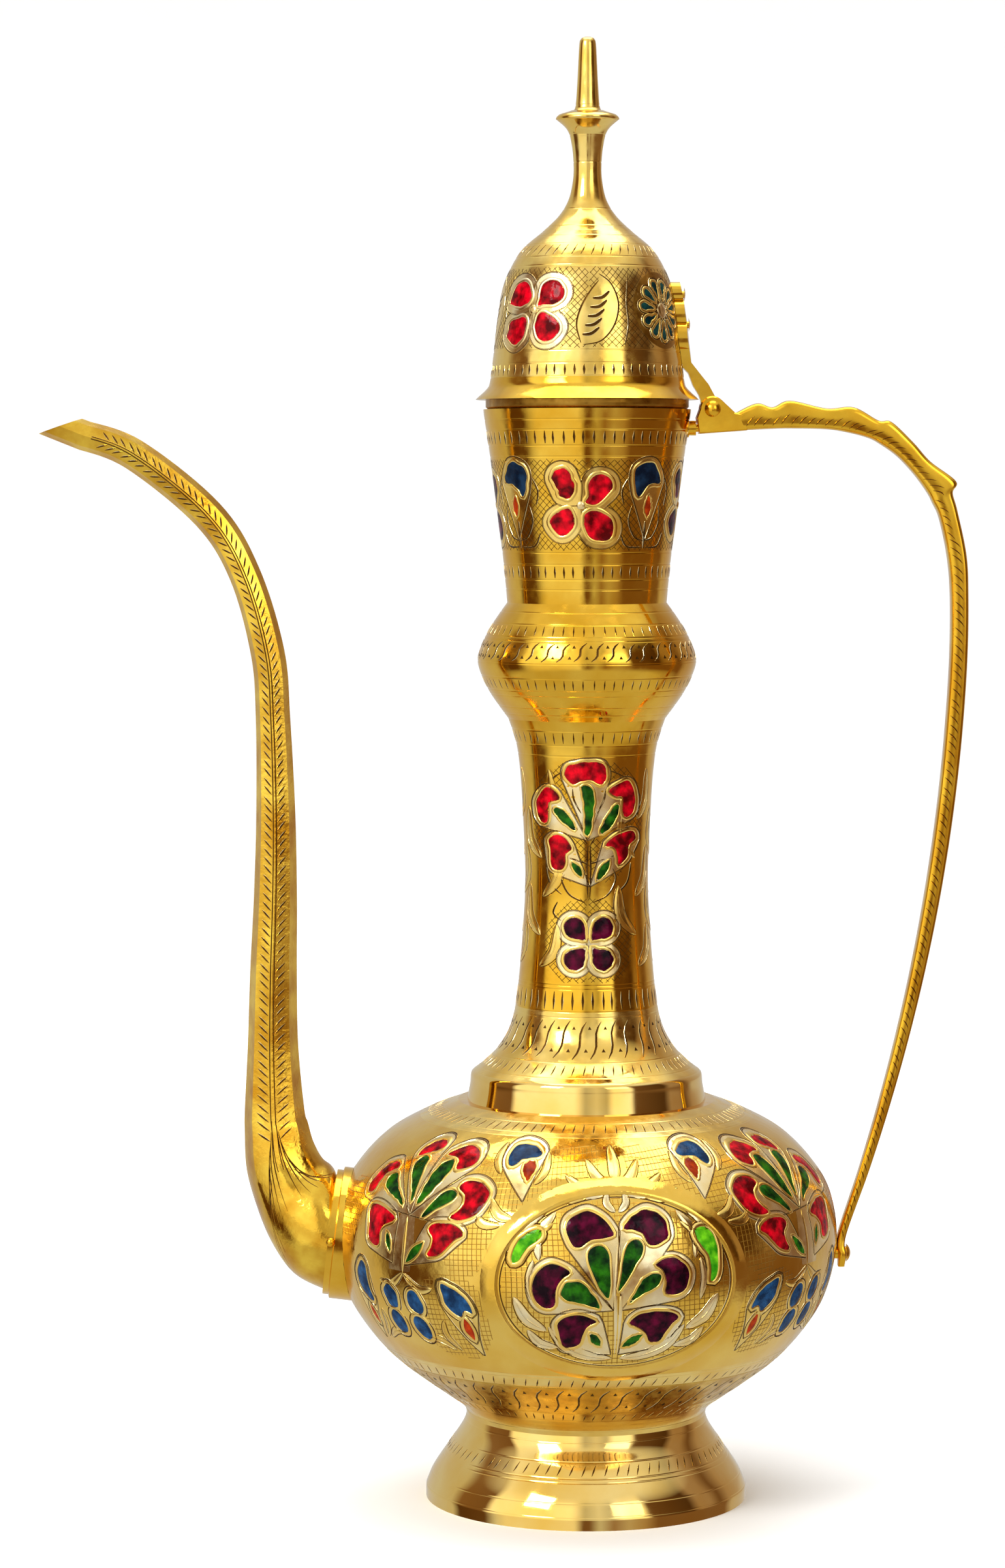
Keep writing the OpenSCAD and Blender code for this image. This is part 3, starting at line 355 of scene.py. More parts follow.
def grid_faces(rows: int, cols: int, round_cols: bool = False) -> Array:
    """Quads between the points of a grid.

    Args:
        rows: Number of rows.
        cols: Points in a row.
        round_cols: Whether each row closes on itself.

    Returns:
        Corner numbers, four to a face.
    """
    i, k = np.meshgrid(np.arange(rows - 1), np.arange(cols if round_cols else cols - 1), indexing="ij")
    a, b = i * cols + k, i * cols + (k + 1) % cols
    return np.stack([a, b, b + cols, a + cols], -1).reshape(-1, 4)


class MeshWork:
    """Gathers the vertices and faces of one object."""

    def __init__(self) -> None:
        """Starts empty."""
        self.verts: list[Array] = []
        self.faces: list[Array] = []
        self.finish: list[Array] = []
        self.smooth: list[Array] = []
        self.total = 0

    def add(
        self, verts: Array, faces: Array, finish: Array | Metal = Metal.POLISHED, smooth: bool = True
    ) -> None:
        """Adds one patch.

        Args:
            verts: Points, any shape ending in 3.
            faces: Corner numbers within the patch, a row to a face.
            finish: One metal, or a slot number for each face.
            smooth: Whether its faces are shaded smooth.
        """
        verts = verts.reshape(-1, 3)
        slots = np.full(len(faces), finish.value) if isinstance(finish, Metal) else finish
        self.verts.append(verts)
        self.faces.append(faces + self.total)
        self.finish.append(slots)
        self.smooth.append(np.full(len(faces), smooth))
        self.total += len(verts)

    def strip(self, verts: Array, finish: Array | Metal, smooth: bool = True, flip: bool = True) -> None:
        """Adds a strip of quads.

        Args:
            verts: Points, by row along the strip and place across it.
            finish: One metal, or a slot number for each face across the strip.
            smooth: Whether its faces are shaded smooth.
            flip: Whether the outside is on the left of the rows.
        """
        rows, cols = verts.shape[:2]
        faces = grid_faces(rows, cols)
        slots = finish if isinstance(finish, Metal) else np.tile(finish, rows - 1)
        self.add(verts, faces[:, ::-1] if flip else faces, slots, smooth)

    def lathe(self, rings: Array, finish: Array | Metal = Metal.POLISHED) -> None:
        """Turns a line.

        Args:
            rings: Radii and heights, listed so that the outside is on the line's right.
            finish: One metal, or a slot number for each part of the line.
        """
        a = np.radians(np.arange(SEGMENTS) * 360 / SEGMENTS)
        r, z = rings[:, :1], np.repeat(rings[:, 1:], SEGMENTS, 1)
        verts = np.stack([r * np.sin(a), -r * np.cos(a), z], -1)
        if not isinstance(finish, Metal):
            finish = np.repeat(finish, SEGMENTS)
        self.add(verts, grid_faces(len(rings), SEGMENTS, True), finish)

    def tube(self, rings: Array, finish: Metal, smooth: bool = True) -> None:
        """Joins rings of points into a bar with closed ends.

        Args:
            rings: Points, by ring and place in the ring.
            finish: Its metal.
            smooth: Whether its faces are shaded smooth.
        """
        rows, cols = rings.shape[:2]
        self.add(rings, grid_faces(rows, cols, True), finish, smooth)
        self.add(rings[0], np.arange(cols)[None, ::-1], finish, smooth)
        self.add(rings[-1], np.arange(cols)[None], finish, smooth)

    def to_object(self, name: str, materials: Sequence[Material]) -> Object:
        """Makes the object.

        Args:
            name: Its name.
            materials: Its material slots.

        Returns:
            The object, linked to the scene.
        """
        mesh = bpy.data.meshes.new(name)
        sizes = np.concatenate([np.full(len(f), f.shape[1]) for f in self.faces])
        loops = np.concatenate([f.ravel() for f in self.faces])
        mesh.vertices.add(self.total)
        mesh.vertices.foreach_set("co", np.concatenate(self.verts).ravel() * MM)
        mesh.loops.add(len(loops))
        mesh.loops.foreach_set("vertex_index", loops.astype(np.int32))
        mesh.polygons.add(len(sizes))
        mesh.polygons.foreach_set("loop_start", (np.cumsum(sizes) - sizes).astype(np.int32))
        for material in materials:
            mesh.materials.append(material)
        mesh.polygons.foreach_set("material_index", np.concatenate(self.finish).astype(np.int32))
        mesh.update(calc_edges=True)
        mesh.polygons.foreach_set("use_smooth", np.concatenate(self.smooth))
        mesh.validate()
        made = bpy.data.objects.new(name, mesh)
        bpy.context.scene.collection.objects.link(made)
        return made


def hand_over(made: Object, body: Body, slot: str, *nodes: str) -> None:
    """Hangs a finished object on its body in place of its nodes.

    Args:
        made: The object.
        body: The body it moves with.
        slot: The record's material slot; not used.
        nodes: The nodes it stands for.
    """
    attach(made, body.value)
    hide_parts(*nodes)
    LOG.info("%s: %d faces", made.name, len(made.data.polygons))


# Lines and surfaces


def smooth_line(points: Sequence[Sequence[float]], steps: int) -> Array:
    """Points of a smooth line through the given ones.

    Args:
        points: The points to pass through.
        steps: Parts between two of them.

    Returns:
        The points of the line.
    """
    p = np.asarray(points, float)
    p0, p1, p2, p3 = np.vstack([p[:1], p[:-2]]), p[:-1], p[1:], np.vstack([p[2:], p[-1:]])
    t = (np.arange(steps) / steps)[:, None, None]
    q = 2 * p1 + (p2 - p0) * t + (2 * p0 - 5 * p1 + 4 * p2 - p3) * t**2
    q = q + (3 * p1 - p0 - 3 * p2 + p3) * t**3
    return np.vstack([0.5 * q.transpose(1, 0, 2).reshape(-1, p.shape[1]), p[-1:]])


def distances(line: Array) -> Array:
    """How far along a line each of its points lies."""
    return np.append(0.0, np.cumsum(np.hypot(*np.diff(line, axis=0).T)))


def closed(line: Array) -> Array:
    """The line with its first point again at its end."""
    return np.concatenate([line, line[:1]])


def across(line: Array) -> Array:
    """Unit vectors across a line, to its left."""
    t = np.gradient(line, axis=0)
    return np.stack([-t[:, 1], t[:, 0]], -1) / np.maximum(np.hypot(*t.T)[:, None], TINY)


def ribbon(line: Array, off: Array) -> Array:
    """Points beside a line: a row for each of its points, at some distances to its left."""
    return line[:, None] + across(line)[:, None] * np.broadcast_to(off, (len(line), off.shape[-1]))[..., None]


def run_out(count: int, least: float) -> Array:
    """Share of the full width along a stroke that narrows to its ends."""
    return least + (1 - least) * np.sin(math.pi * np.linspace(0, 1, count)) ** 0.5


def furrow(edge: Metal) -> Array:
    """Slots across an engraved stroke: a dark furrow between two burrs. The dark is patina and painted groove
    shade, as the furrow is not cut into the surface.
    """
    return np.array([edge.value, Metal.DARK.value, Metal.DARK.value, edge.value])


class Profile:
    """Outer line of a turned piece, from its lower end up."""

    STEPS = 14
    SAME = 1e-6
    RING_STEP = 0.8
    INNER_STEP = 2.0
    GROOVE_PLACES = np.array([-0.7, -0.5, 0.0, 0.5, 0.7])
    GROOVE_DEPTHS = np.array([0.0, 0.0, -1.0, 0.0, 0.0])

    def __init__(self, runs: Iterable[Line]) -> None:
        """Joins runs of points.

        Args:
            runs: Radii and heights of each run, which is drawn smooth.
        """
        line = np.vstack([smooth_line(run, self.STEPS) for run in runs])
        step = np.hypot(*np.diff(line, axis=0).T)
        line = line[np.append(True, step > self.SAME)]
        self.r, self.z = line.T
        self.s = distances(line)
        dr, dz = np.gradient(self.r, self.s), np.gradient(self.z, self.s)
        size = np.hypot(dr, dz)
        self.nr, self.nz = dz / size, -dr / size

    def radius(self, z: Array | float) -> Array:
        """Radius at a height."""
        return np.interp(z, self.z, self.r)

    def place(self, angle: Array, z: Array, h: Array | float) -> Array:
        """Points on the surface.

        Args:
            angle: Degrees round from the front.
            z: Heights.
            h: Distances off the surface.

        Returns:
            The points.
        """
        r = self.radius(z) + np.interp(z, self.z, self.nr) * h
        up = z + np.interp(z, self.z, self.nz) * h
        a = np.radians(angle)
        return np.stack(np.broadcast_arrays(r * np.sin(a), -r * np.cos(a), up), -1)

    def beside(self, s: Array, h: Array | float) -> Array:
        """Radii and heights at distances along the line, off it by h."""
        both = ((self.r, self.nr), (self.z, self.nz))
        return np.stack([np.interp(s, self.s, on) + h * np.interp(s, self.s, out) for on, out in both], -1)

    def rings(self, grooves: Iterable[float], width: float, depth: float) -> Array:
        """Radii and heights along the line, with turned grooves.

        Args:
            grooves: Heights of the grooves.
            width: Their width.
            depth: Their depth.

        Returns:
            The rings.
        """
        s = np.linspace(0, self.s[-1], max(6, int(self.s[-1] / self.RING_STEP)))
        cut = np.zeros(len(s))
        for z in grooves:
            at = np.interp(z, self.z, self.s)
            far = np.abs(s - at) > width
            s = np.append(s[far], at + width * self.GROOVE_PLACES)
            cut = np.append(cut[far], depth * self.GROOVE_DEPTHS)
        order = np.argsort(s)
        return self.beside(np.clip(s[order], 0, self.s[-1]), cut[order])

    def inner(self, wall: float, low: float, high: float) -> Array:
        """The line inside the wall, from its upper end down.

        Args:
            wall: Thickness of the wall.
            low: Lowest height.
            high: Greatest height.

        Returns:
            Radii and heights.
        """
        line = self.beside(np.linspace(0, self.s[-1], int(self.s[-1] / self.INNER_STEP) + 2), -wall)
        line[:, 1] = np.clip(line[:, 1], low, high)
        return line[::-1]


class Flat:
    """Flat coordinates on a turned surface."""

    profile: Profile

    def polar(self, x: Array, y: Array) -> tuple[Array, Array]:
        """Angles and heights of points."""
        raise NotImplementedError

    def place(self, x: Array, y: Array, h: Array | float) -> Array:
        """Points at a distance off the surface."""
        angle, z = self.polar(x, y)
        return self.profile.place(angle, z, h)

    def where(self, points: Array) -> Array:
        """Angles and heights of points given in pairs."""
        return np.stack(self.polar(points[..., 0], points[..., 1]), -1)


@dataclass(frozen=True)
class Spot(Flat):
    """Flat coordinates round one place: x to the right, y up."""

    profile: Profile
    angle: float
    z: float

    def polar(self, x: Array, y: Array) -> tuple[Array, Array]:
        """Angles and heights of points."""
        turn = np.arcsin(np.clip(x / self.profile.radius(self.z + y), -0.98, 0.98))
        return self.angle + np.degrees(turn), self.z + y


@dataclass(frozen=True)
class Belt(Flat):
    """Coordinates all round: x along the girth at one radius, y the height."""

    profile: Profile
    ref: float

    def polar(self, x: Array, y: Array) -> tuple[Array, Array]:
        """Angles and heights of points."""
        return np.degrees(x / self.ref), y


# Shapes of the ornament


def resample(shape: Array, count: int) -> Array:
    """Even points round a closed outline.

    Args:
        shape: The outline.
        count: How many points.

    Returns:
        The points.
    """
    ring = closed(shape)
    s = distances(ring)
    at = np.linspace(0, s[-1], count, endpoint=False)
    return np.stack([np.interp(at, s, ring[:, 0]), np.interp(at, s, ring[:, 1])], -1)


def drop(length: float, width: float) -> Array:
    """Drop with its tip at the origin and its round head up.

    Args:
        length: Its length.
        width: Its width.

    Returns:
        The outline.
    """
    r = width / 2
    c = length - r
    b = math.asin(r / c)
    t = np.linspace(-b, math.pi + b, 16)
    return resample(np.vstack([[0.0, 0.0], np.stack([r * np.cos(t), c + r * np.sin(t)], -1)]), 30)


def hand_cut(points: Line) -> Array:
    """Smooth outline through points round a cell, anticlockwise.

    Args:
        points: The points to pass through.

    Returns:
        The outline.
    """
    p, steps = np.asarray(points, float), 6
    if np.sum(p[:, 0] * np.roll(p[:, 1], -1) - p[:, 1] * np.roll(p[:, 0], -1)) < 0:
        p = p[::-1]
    ring = smooth_line(np.vstack([p[-2:], p, p[:2]]), steps)
    return resample(ring[2 * steps : (2 + len(p)) * steps], 44)


def all_cut(outlines: Iterable[Line]) -> list[Array]:
    """Smooth outlines of several cells."""
    return [hand_cut(points) for points in outlines]


def leaf(length: float, width: float) -> Array:
    """Pointed leaf from the origin up.

    Args:
        length: Its length.
        width: Its width.

    Returns:
        The outline.
    """
    t = np.linspace(0, 1, 12)
    side = 0.5 * width * np.sin(math.pi * t)
    return np.vstack([np.stack([side, length * t], -1), np.stack([-side, length * t], -1)[-2:0:-1]])


def oval(a: float, b: float, count: int = 96) -> Array:
    """Ellipse round the origin, of two half sizes."""
    t = np.arange(count) * 2 * math.pi / count
    return np.stack([a * np.cos(t), b * np.sin(t)], -1)


def moved(shape: Array, x: float, y: float, turn: float = 0.0) -> Array:
    """The shape turned by an angle in degrees, then shifted."""
    c, s = math.cos(math.radians(turn)), math.sin(math.radians(turn))
    return shape @ np.array([[c, s], [-s, c]]) + np.array([x, y])


def sprigs(rows: Iterable[Sequence[float]]) -> list[Array]:
    """Pointed leaves, each of a length and a width, at a place and a turn."""
    return [moved(leaf(length, width), x, y, turn) for length, width, x, y, turn in rows]


def mirrored(shape: Array) -> Array:
    """The shape's mirror image, still anticlockwise."""
    return (shape * np.array([-1.0, 1.0]))[::-1]


def facing(shapes: Iterable[Array], side: float) -> list[Array]:
    """Shapes drawn for the left side, mirrored where they lie on the right."""
    return [mirrored(shape) if side > 0 else shape for shape in shapes]


def grown(shape: Array, by: Array | float) -> Array:
    """The outline moved out by a distance, in all or at each point."""
    t = np.roll(shape, -1, 0) - np.roll(shape, 1, 0)
    return shape + by * np.stack([t[:, 1], -t[:, 0]], -1) / np.maximum(np.hypot(*t.T)[:, None], TINY)


def quartet(x: float, y: float, length: float, width: float) -> list[Array]:
    """Four drops round a centre.

    Args:
        x: How far to the side they point.
        y: How far up and down they point.
        length: Length of a drop.
        width: Width of a drop.

    Returns:
        Their outlines, the upper two first.
    """
    start, turn = 0.22, math.degrees(math.atan2(x, y))
    high = moved(drop(length, width), start * x, start * y, -turn)
    low = moved(drop(length, width), start * x, -start * y, turn - 180)
    return [high, mirrored(high), low, mirrored(low)]


def flipped(leaves: Iterable[Leaf]) -> list[Leaf]:
    """Mirror images of leaves given by width and middle line."""
    return [(width, [(-x, y) for x, y in line]) for width, line in leaves]


def both_ways(lines: Sequence[Line]) -> list[Line]:
    """Lines and their mirror images."""
    return [*lines, *([(-x, y) for x, y in line] for line in lines)]


def ruled(slant: float, along: Array, places: Iterable[float]) -> list[Array]:
    """Straight lines at a slant in degrees, by distances along each and the places of all across."""
    t, n = slanted(slant)
    return [along[:, None] * t + place * n for place in places]


def slanted(slant: float) -> tuple[Array, Array]:
    """Unit vectors along and across a slant in degrees."""
    a = math.radians(slant)
    return np.array([math.cos(a), math.sin(a)]), np.array([-math.sin(a), math.cos(a)])


def inside(points: Array, shape: Array) -> Array:
    """Which points lie in a closed outline.

    Args:
        points: The points.
        shape: The outline.

    Returns:
        A mask.
    """
    low, high = shape.min(0), shape.max(0)
    found = np.all((points >= low) & (points <= high), -1)
    p = points[found]
    if len(p) == 0:
        return found
    a, b = shape, np.roll(shape, -1, 0)
    cross = (a[:, 1] > p[:, 1:]) != (b[:, 1] > p[:, 1:])
    with np.errstate(divide="ignore", invalid="ignore"):
        at = a[:, 0] + (p[:, 1:] - a[:, 1]) * (b[:, 0] - a[:, 0]) / (b[:, 1] - a[:, 1])
    found[found] = np.sum(cross & (p[:, :1] < at), 1) % 2 == 1
    return found


def within(points: Array, area: Array) -> Array:
    """Which points (angle, height) lie in an area, by whatever turns their angles differ."""
    turn = 360.0 * np.round((points[:, 0] - area[:, 0].mean()) / 360.0)
    return inside(points - np.stack([turn, 0 * turn], -1), area)


def to_edge(points: Array, ring: Array) -> Array:
    """Distance of points from a closed outline.

    Args:
        points: The points.
        ring: The outline.

    Returns:
        The distances.
    """
    way = np.roll(ring, -1, 0) - ring
    share = ((points[:, None] - ring) * way).sum(-1) / np.maximum((way * way).sum(-1), 1e-12)
    off = points[:, None] - ring - np.clip(share, 0, 1)[..., None] * way
    return np.hypot(off[..., 0], off[..., 1]).min(1)


def hull(points: Array) -> Array:
    """Smallest convex outline round points, anticlockwise.

    Args:
        points: The points.

    Returns:
        The outline.
    """
    rows = points[np.lexsort((points[:, 1], points[:, 0]))]
    outline: list[Array] = []
    for half in (rows, rows[::-1]):
        side: list[Array] = []
        for p in half:
            while len(side) > 1:
                a, b = side[-1] - side[-2], p - side[-1]
                if a[0] * b[1] - a[1] * b[0] > 0:
                    break
                side.pop()
            side.append(p)
        outline += side[:-1]
    return np.array(outline)


def filled(ring: Array, pitch: float) -> tuple[Array, Array, Array]:
    """Triangles that fill a closed outline.

    Args:
        ring: The outline, anticlockwise.
        pitch: Distance between the points inside.

    Returns:
        Points, corner numbers, and the distance of each point from the outline.
    """
    low, high = ring.min(0), ring.max(0)
    x, y = np.meshgrid(np.arange(low[0], high[0], pitch), np.arange(low[1], high[1], pitch))
    grid = np.stack([x, y], -1).reshape(-1, 2)
    grid = grid[inside(grid, ring)]
    if len(grid):
        grid = grid[to_edge(grid, ring) > 0.4 * pitch]
    found = delaunay_2d_cdt(np.vstack([ring, grid]).tolist(), [], [list(range(len(ring)))], 1, 1e-6)
    points = np.array([tuple(p) for p in found[0]])
    return points, np.array(found[2]), to_edge(points, ring)


def kept(line: Array, keep: Array, least: int = 2) -> list[Array]:
    """Stretches of a line that a mask keeps, of a least number of points."""
    edges = np.flatnonzero(np.diff(np.concatenate([[0], keep.astype(int), [0]])))
    return [line[a:b] for a, b in zip(edges[::2], edges[1::2]) if b - a >= least]


# Ornament


@dataclass(frozen=True)
class Cell:
    """One enamel cell."""

    spot: Spot
    shape: Array
    tint: Tint
    rim: float
    metal: Metal
    outline: bool


@dataclass(frozen=True)
class Band:
    """A row of engraved strokes all round a turned piece, slanted by millimetres or wavy with dots."""

    low: float
    high: float
    count: int
    slant: float = 0.0
    width: float = 0.5
    wavy: bool = False


class Ornament:
    """Enamel cells with bright rims, engraved lines and hatching on one turned piece."""

    WOBBLE = 0.05
    WOBBLE_WAVES = (3, 5, 9)
    SUNK = -0.04
    BURIED = -0.4
    FURROW = np.array([-1.0, -0.72, 0.0, 0.72, 1.0])
    FURROW_FLOOR = 0.01
    RIDGE = np.array([-1.0, 0.0, 1.0])
    DOT_HEIGHTS = np.array([0.03, 0.05, 0.05, 0.05])
    DOT_SIZE = 0.55
    DOT_FACES = np.array([[0, 1, 2], [0, 2, 3], [0, 3, 1]])
    OUTLINE_W = 0.5
    OUTLINE_GAP = 0.18
    RIM_SHARES = np.array([0.0, 0.0, 0.4, 0.85, 1.0])
    RIM_STARTS = np.array([-0.03, 0.05, 0.0, 0.0, 0.0])
    RIM_HEIGHTS = np.array([-0.05, 0.1, 0.12, 0.09, -0.04])
    HATCH_STEP = 0.8
    HATCH_LIFT = 0.03
    BLADE = np.array([-1.0, -0.7, 0.0, 0.7, 1.0])
    BLADE_HEIGHTS = np.array([-0.04, 0.07, 0.12, 0.07, -0.04])
    VEINED = 1.5
    HUB = ((1.0, 0.0), (0.8, 0.26), (0.4, 0.34))
    HUB_SIDES = 16
    PATCH_PITCH = 1.4
    GLASS_PITCH = 0.6
    GLASS_SHOULDER = 1.3
    GLASS_EDGE = 0.02
    GLASS_DOME = 0.13
    GLASS_UNEVEN = 0.006

    def __init__(self, profile: Profile, work: MeshWork, seed: int) -> None:
        """Starts without ornament.

        Args:
            profile: The piece's outer line.
            work: The piece's mesh.
            seed: Start of its random draws.
        """
        self.profile = profile
        self.work = work
        self.rng = np.random.default_rng(seed)
        self.cells: list[Cell] = []
        self.smooth_areas: list[Array] = []

    def flower(
        self,
        spot: Spot,
        shapes: Iterable[Array],
        tint: Tint,
        rim: float = 1.0,
        metal: Metal = Metal.PALE,
        outline: bool = True,
    ) -> None:
        """Adds cells of one tint round a spot.

        Args:
            spot: Where they lie.
            shapes: Their outlines.
            tint: Their colour.
            rim: Width of the rim round each.
            metal: Finish of the rim.
            outline: Whether a line is engraved round the rim.
        """
        for shape in shapes:
            wave = np.arange(len(shape)) * 2 * math.pi / len(shape)
            wobble = sum(
                self.rng.normal(0, self.WOBBLE) * np.sin(k * wave + self.rng.uniform(0, 6.3))
                for k in self.WOBBLE_WAVES
            )
            self.cells.append(Cell(spot, grown(shape, wobble[:, None]), tint, rim, metal, outline))

    def lobes(
        self, spot: Spot, shapes: Sequence[Array], root: Point, margin: float, metal: Metal = Metal.PALE
    ) -> None:
        """Lays a smooth leaf round each of some cells, springing from one root.

        Args:
            spot: Where they lie.
            shapes: Outlines of the cells.
            root: Where the leaves spring from.
            margin: Width of the leaf round its cell.
            metal: Finish of the leaves.
        """
        areas = [resample(hull(np.vstack([grown(shape, margin), [root]])), 72) for shape in shapes]
        for i, area in enumerate(areas):
            self.patch(spot, area, metal, 0.02 + 0.005 * i)
            line = closed(area)
            free = self.clear(spot.where(line), 0.3)
            for other in areas[:i]:
                free &= ~inside(line, other)
            self.cut(spot.place, kept(line, free, 4), self.OUTLINE_W, False, 0.07)

    def patch(self, spot: Spot, area: Array, metal: Metal, h: float = 0.02) -> None:
        """Lays a smooth patch of a finish.

        Args:
            spot: Where it lies.
            area: Its outline.
            metal: The finish.
            h: Its height off the surface.
        """
        points, faces, _ = filled(area, self.PATCH_PITCH)
        self.work.add(spot.place(*points.T, h), faces, metal)
        self.keep_smooth(spot, area)

    def keep_smooth(self, spot: Spot, shape: Array) -> None:
        """Keeps hatching out of an area."""
        self.smooth_areas.append(spot.where(shape))

    def cut(
        self, place: Place, lines: Iterable[Array], width: float, taper: bool = True, lift: float = 0.05
    ) -> None:
        """Engraves lines: a dark furrow between two burrs, the dark being patina and painted groove shade.

        Args:
            place: Maps flat coordinates to the surface.
            lines: Lines of flat points.
            width: Width of a line at its middle.
            taper: Whether its ends run out.
            lift: Height of the burrs.
        """
        heights = np.array([self.SUNK, lift, self.FURROW_FLOOR, lift, self.SUNK])
        for line in lines:
            size = run_out(len(line), 0.3) if taper else np.ones(len(line))
            grid = ribbon(line, size[:, None] * (self.FURROW * width / 2))
            self.work.strip(place(grid[..., 0], grid[..., 1], heights), furrow(Metal.BRIGHT), False)

    def ridge(self, place: Place, lines: Iterable[Array], width: float, metal: Metal) -> None:
        """Raises the fine lines of a hatching, of a sharp section.

        Args:
            place: Maps flat coordinates to the surface.
            lines: Lines of flat points.
            width: Their width.
            metal: Their finish.
        """
        heights = np.array([self.SUNK, self.HATCH_LIFT, self.SUNK])
        for line in lines:
            grid = ribbon(line, self.RIDGE * width / 2)
            self.work.strip(place(grid[..., 0], grid[..., 1], heights), metal, False)

    def band(self, band: Band) -> None:
        """Engraves a row of strokes all round, and the dots of a wavy one.

        Args:
            band: The row.
        """
        low, rise = band.low, band.high - band.low
        ref = float(self.profile.radius((band.low + band.high) / 2))
        belt, pitch = Belt(self.profile, ref), 2 * math.pi * ref / band.count
        slant, bow, width = (0.75 * pitch, 0.13 * pitch, 0.7) if band.wavy else (band.slant, 0.0, band.width)
        k = np.linspace(0, 1, 7 if band.wavy else 3)
        lines = []
        for i in range(band.count):
            jog = self.rng.normal(0, 0.06 * pitch, 2)
            x = (i + 0.5) * pitch + jog[0] + slant * (k - 0.5) + bow * np.sin(2 * math.pi * k)
            lines.append(np.stack([x, low + rise * k + 0.3 * jog[1]], -1))
        self.cut(belt.place, lines, width)
        if band.wavy:
            t = np.radians([90, 210, 330])
            dx, dy = (self.DOT_SIZE * np.append(0, v) for v in (np.cos(t), np.sin(t)))
            for shift, z in ((0.12, band.high - 0.2 * rise), (-0.12, low + 0.2 * rise)):
                for x in (np.arange(band.count) + 1.0) * pitch + shift * pitch:
                    # Dark dots: patina, and painted shade of the punched marks
                    verts = belt.place(x + dx, z + dy, self.DOT_HEIGHTS)
                    self.work.add(verts, self.DOT_FACES, Metal.DARK, False)

    def clear(self, points: Array, margin: float, skip: Cell | None = None) -> Array:
        """Which points (angle, height) stand clear of the cells.

        Args:
            points: Angles and heights.
            margin: Distance to keep from the cells.
            skip: A cell left out of the test.

        Returns:
            A mask.
        """
        free = np.ones(len(points), bool)
        for cell in self.cells:
            if cell is not skip:
                free &= ~within(points, cell.spot.where(grown(cell.shape, margin)))
        return free

    def bare(self, points: Array, margin: float) -> Array:
        """Which points (angle, height) stand clear of cells, leaves and smooth areas.

        Args:
            points: Angles and heights.
            margin: Distance to keep from the cells.

        Returns:
            A mask.
        """
        free = self.clear(points, margin)
        for area in self.smooth_areas:
            free &= ~within(points, area)
        return free

    def raised(
        self, spot: Spot, grid: Array, heights: Array, margin: float, skip: Cell | None = None
    ) -> Array:
        """Points of a raised strip that dips under the cells in its way, all but the skipped one."""
        free = self.clear(spot.where(grid).reshape(-1, 2), margin, skip).reshape(grid.shape[:2])
        return spot.place(grid[..., 0], grid[..., 1], np.where(free, heights, self.BURIED))

    def lay_cells(self) -> None:
        """Raises a rim round every cell, with an engraved outline."""
        for cell in self.cells:
            offsets = self.RIM_STARTS + self.RIM_SHARES * cell.rim
            rings = np.stack([grown(cell.shape, d) for d in offsets], 1)
            verts = self.raised(cell.spot, rings, self.RIM_HEIGHTS, 0.05, cell)
            self.work.strip(closed(verts), cell.metal)
            if cell.outline:
                line = closed(grown(cell.shape, cell.rim + self.OUTLINE_GAP))
                free = self.clear(cell.spot.where(line), cell.rim - 0.1, cell)
                self.cut(cell.spot.place, kept(line, free, 4), self.OUTLINE_W, False, 0.09)

    def hatch(
        self,
        low: float,
        high: float,
        pitch: float,
        slants: Sequence[float],
        metal: Metal,
        near: Array | None = None,
    ) -> None:
        """Raises a net of fine lines between the cells. Their dark finish is patina and painted groove shade,
        as the lines stand proud instead of cut in.

        Args:
            low: Lower edge.
            high: Upper edge.
            pitch: Distance between lines.
            slants: Angle of each set of lines from level, in degrees.
            metal: Finish of the lines.
            near: Angles, heights and reach in millimetres of the only places hatched, or None for all.
        """
        ref = float(self.profile.radius((low + high) / 2))
        girth, belt = 2 * math.pi * ref, Belt(self.profile, ref)
        corners = np.array([[0, low], [girth, low], [0, high], [girth, high]])
        for slant in slants:
            ends, sides = (corners @ way for way in slanted(slant))
            run = np.arange(ends.min(), ends.max(), self.HATCH_STEP)
            places = [
                c + self.rng.normal(0, 0.05 * pitch) for c in np.arange(sides.min(), sides.max(), pitch)
            ]
            for line in ruled(slant, run, places):
                x, y = line.T
                line = line[(x >= 0) & (x <= girth) & (y > low) & (y < high)]
                if len(line) < 2:
                    continue
                where = belt.where(line)
                keep = np.ones(len(line), bool)
                if near is not None:
                    gap = (where[:, None, 0] - near[:, 0] + 180) % 360 - 180
                    far = np.hypot(np.radians(gap) * ref, where[:, None, 1] - near[:, 1])
                    keep = (far < near[:, 2]).any(1)
                if keep.any():
                    keep[keep] = self.bare(where[keep], 1.1)
                self.ridge(belt.place, kept(line, keep), 0.36, metal)

    def scrolls(self, spot: Spot, lines: Iterable[Line], width: float = 0.55) -> None:
        """Engraves smooth lines where no cell lies.

        Args:
            spot: Where they lie.
            lines: Points that each passes through.
            width: Their width.
        """
        for points in lines:
            line = smooth_line(points, 7)
            free = self.clear(spot.where(line), 0.9)
            self.cut(spot.place, kept(line, free, 3), width)

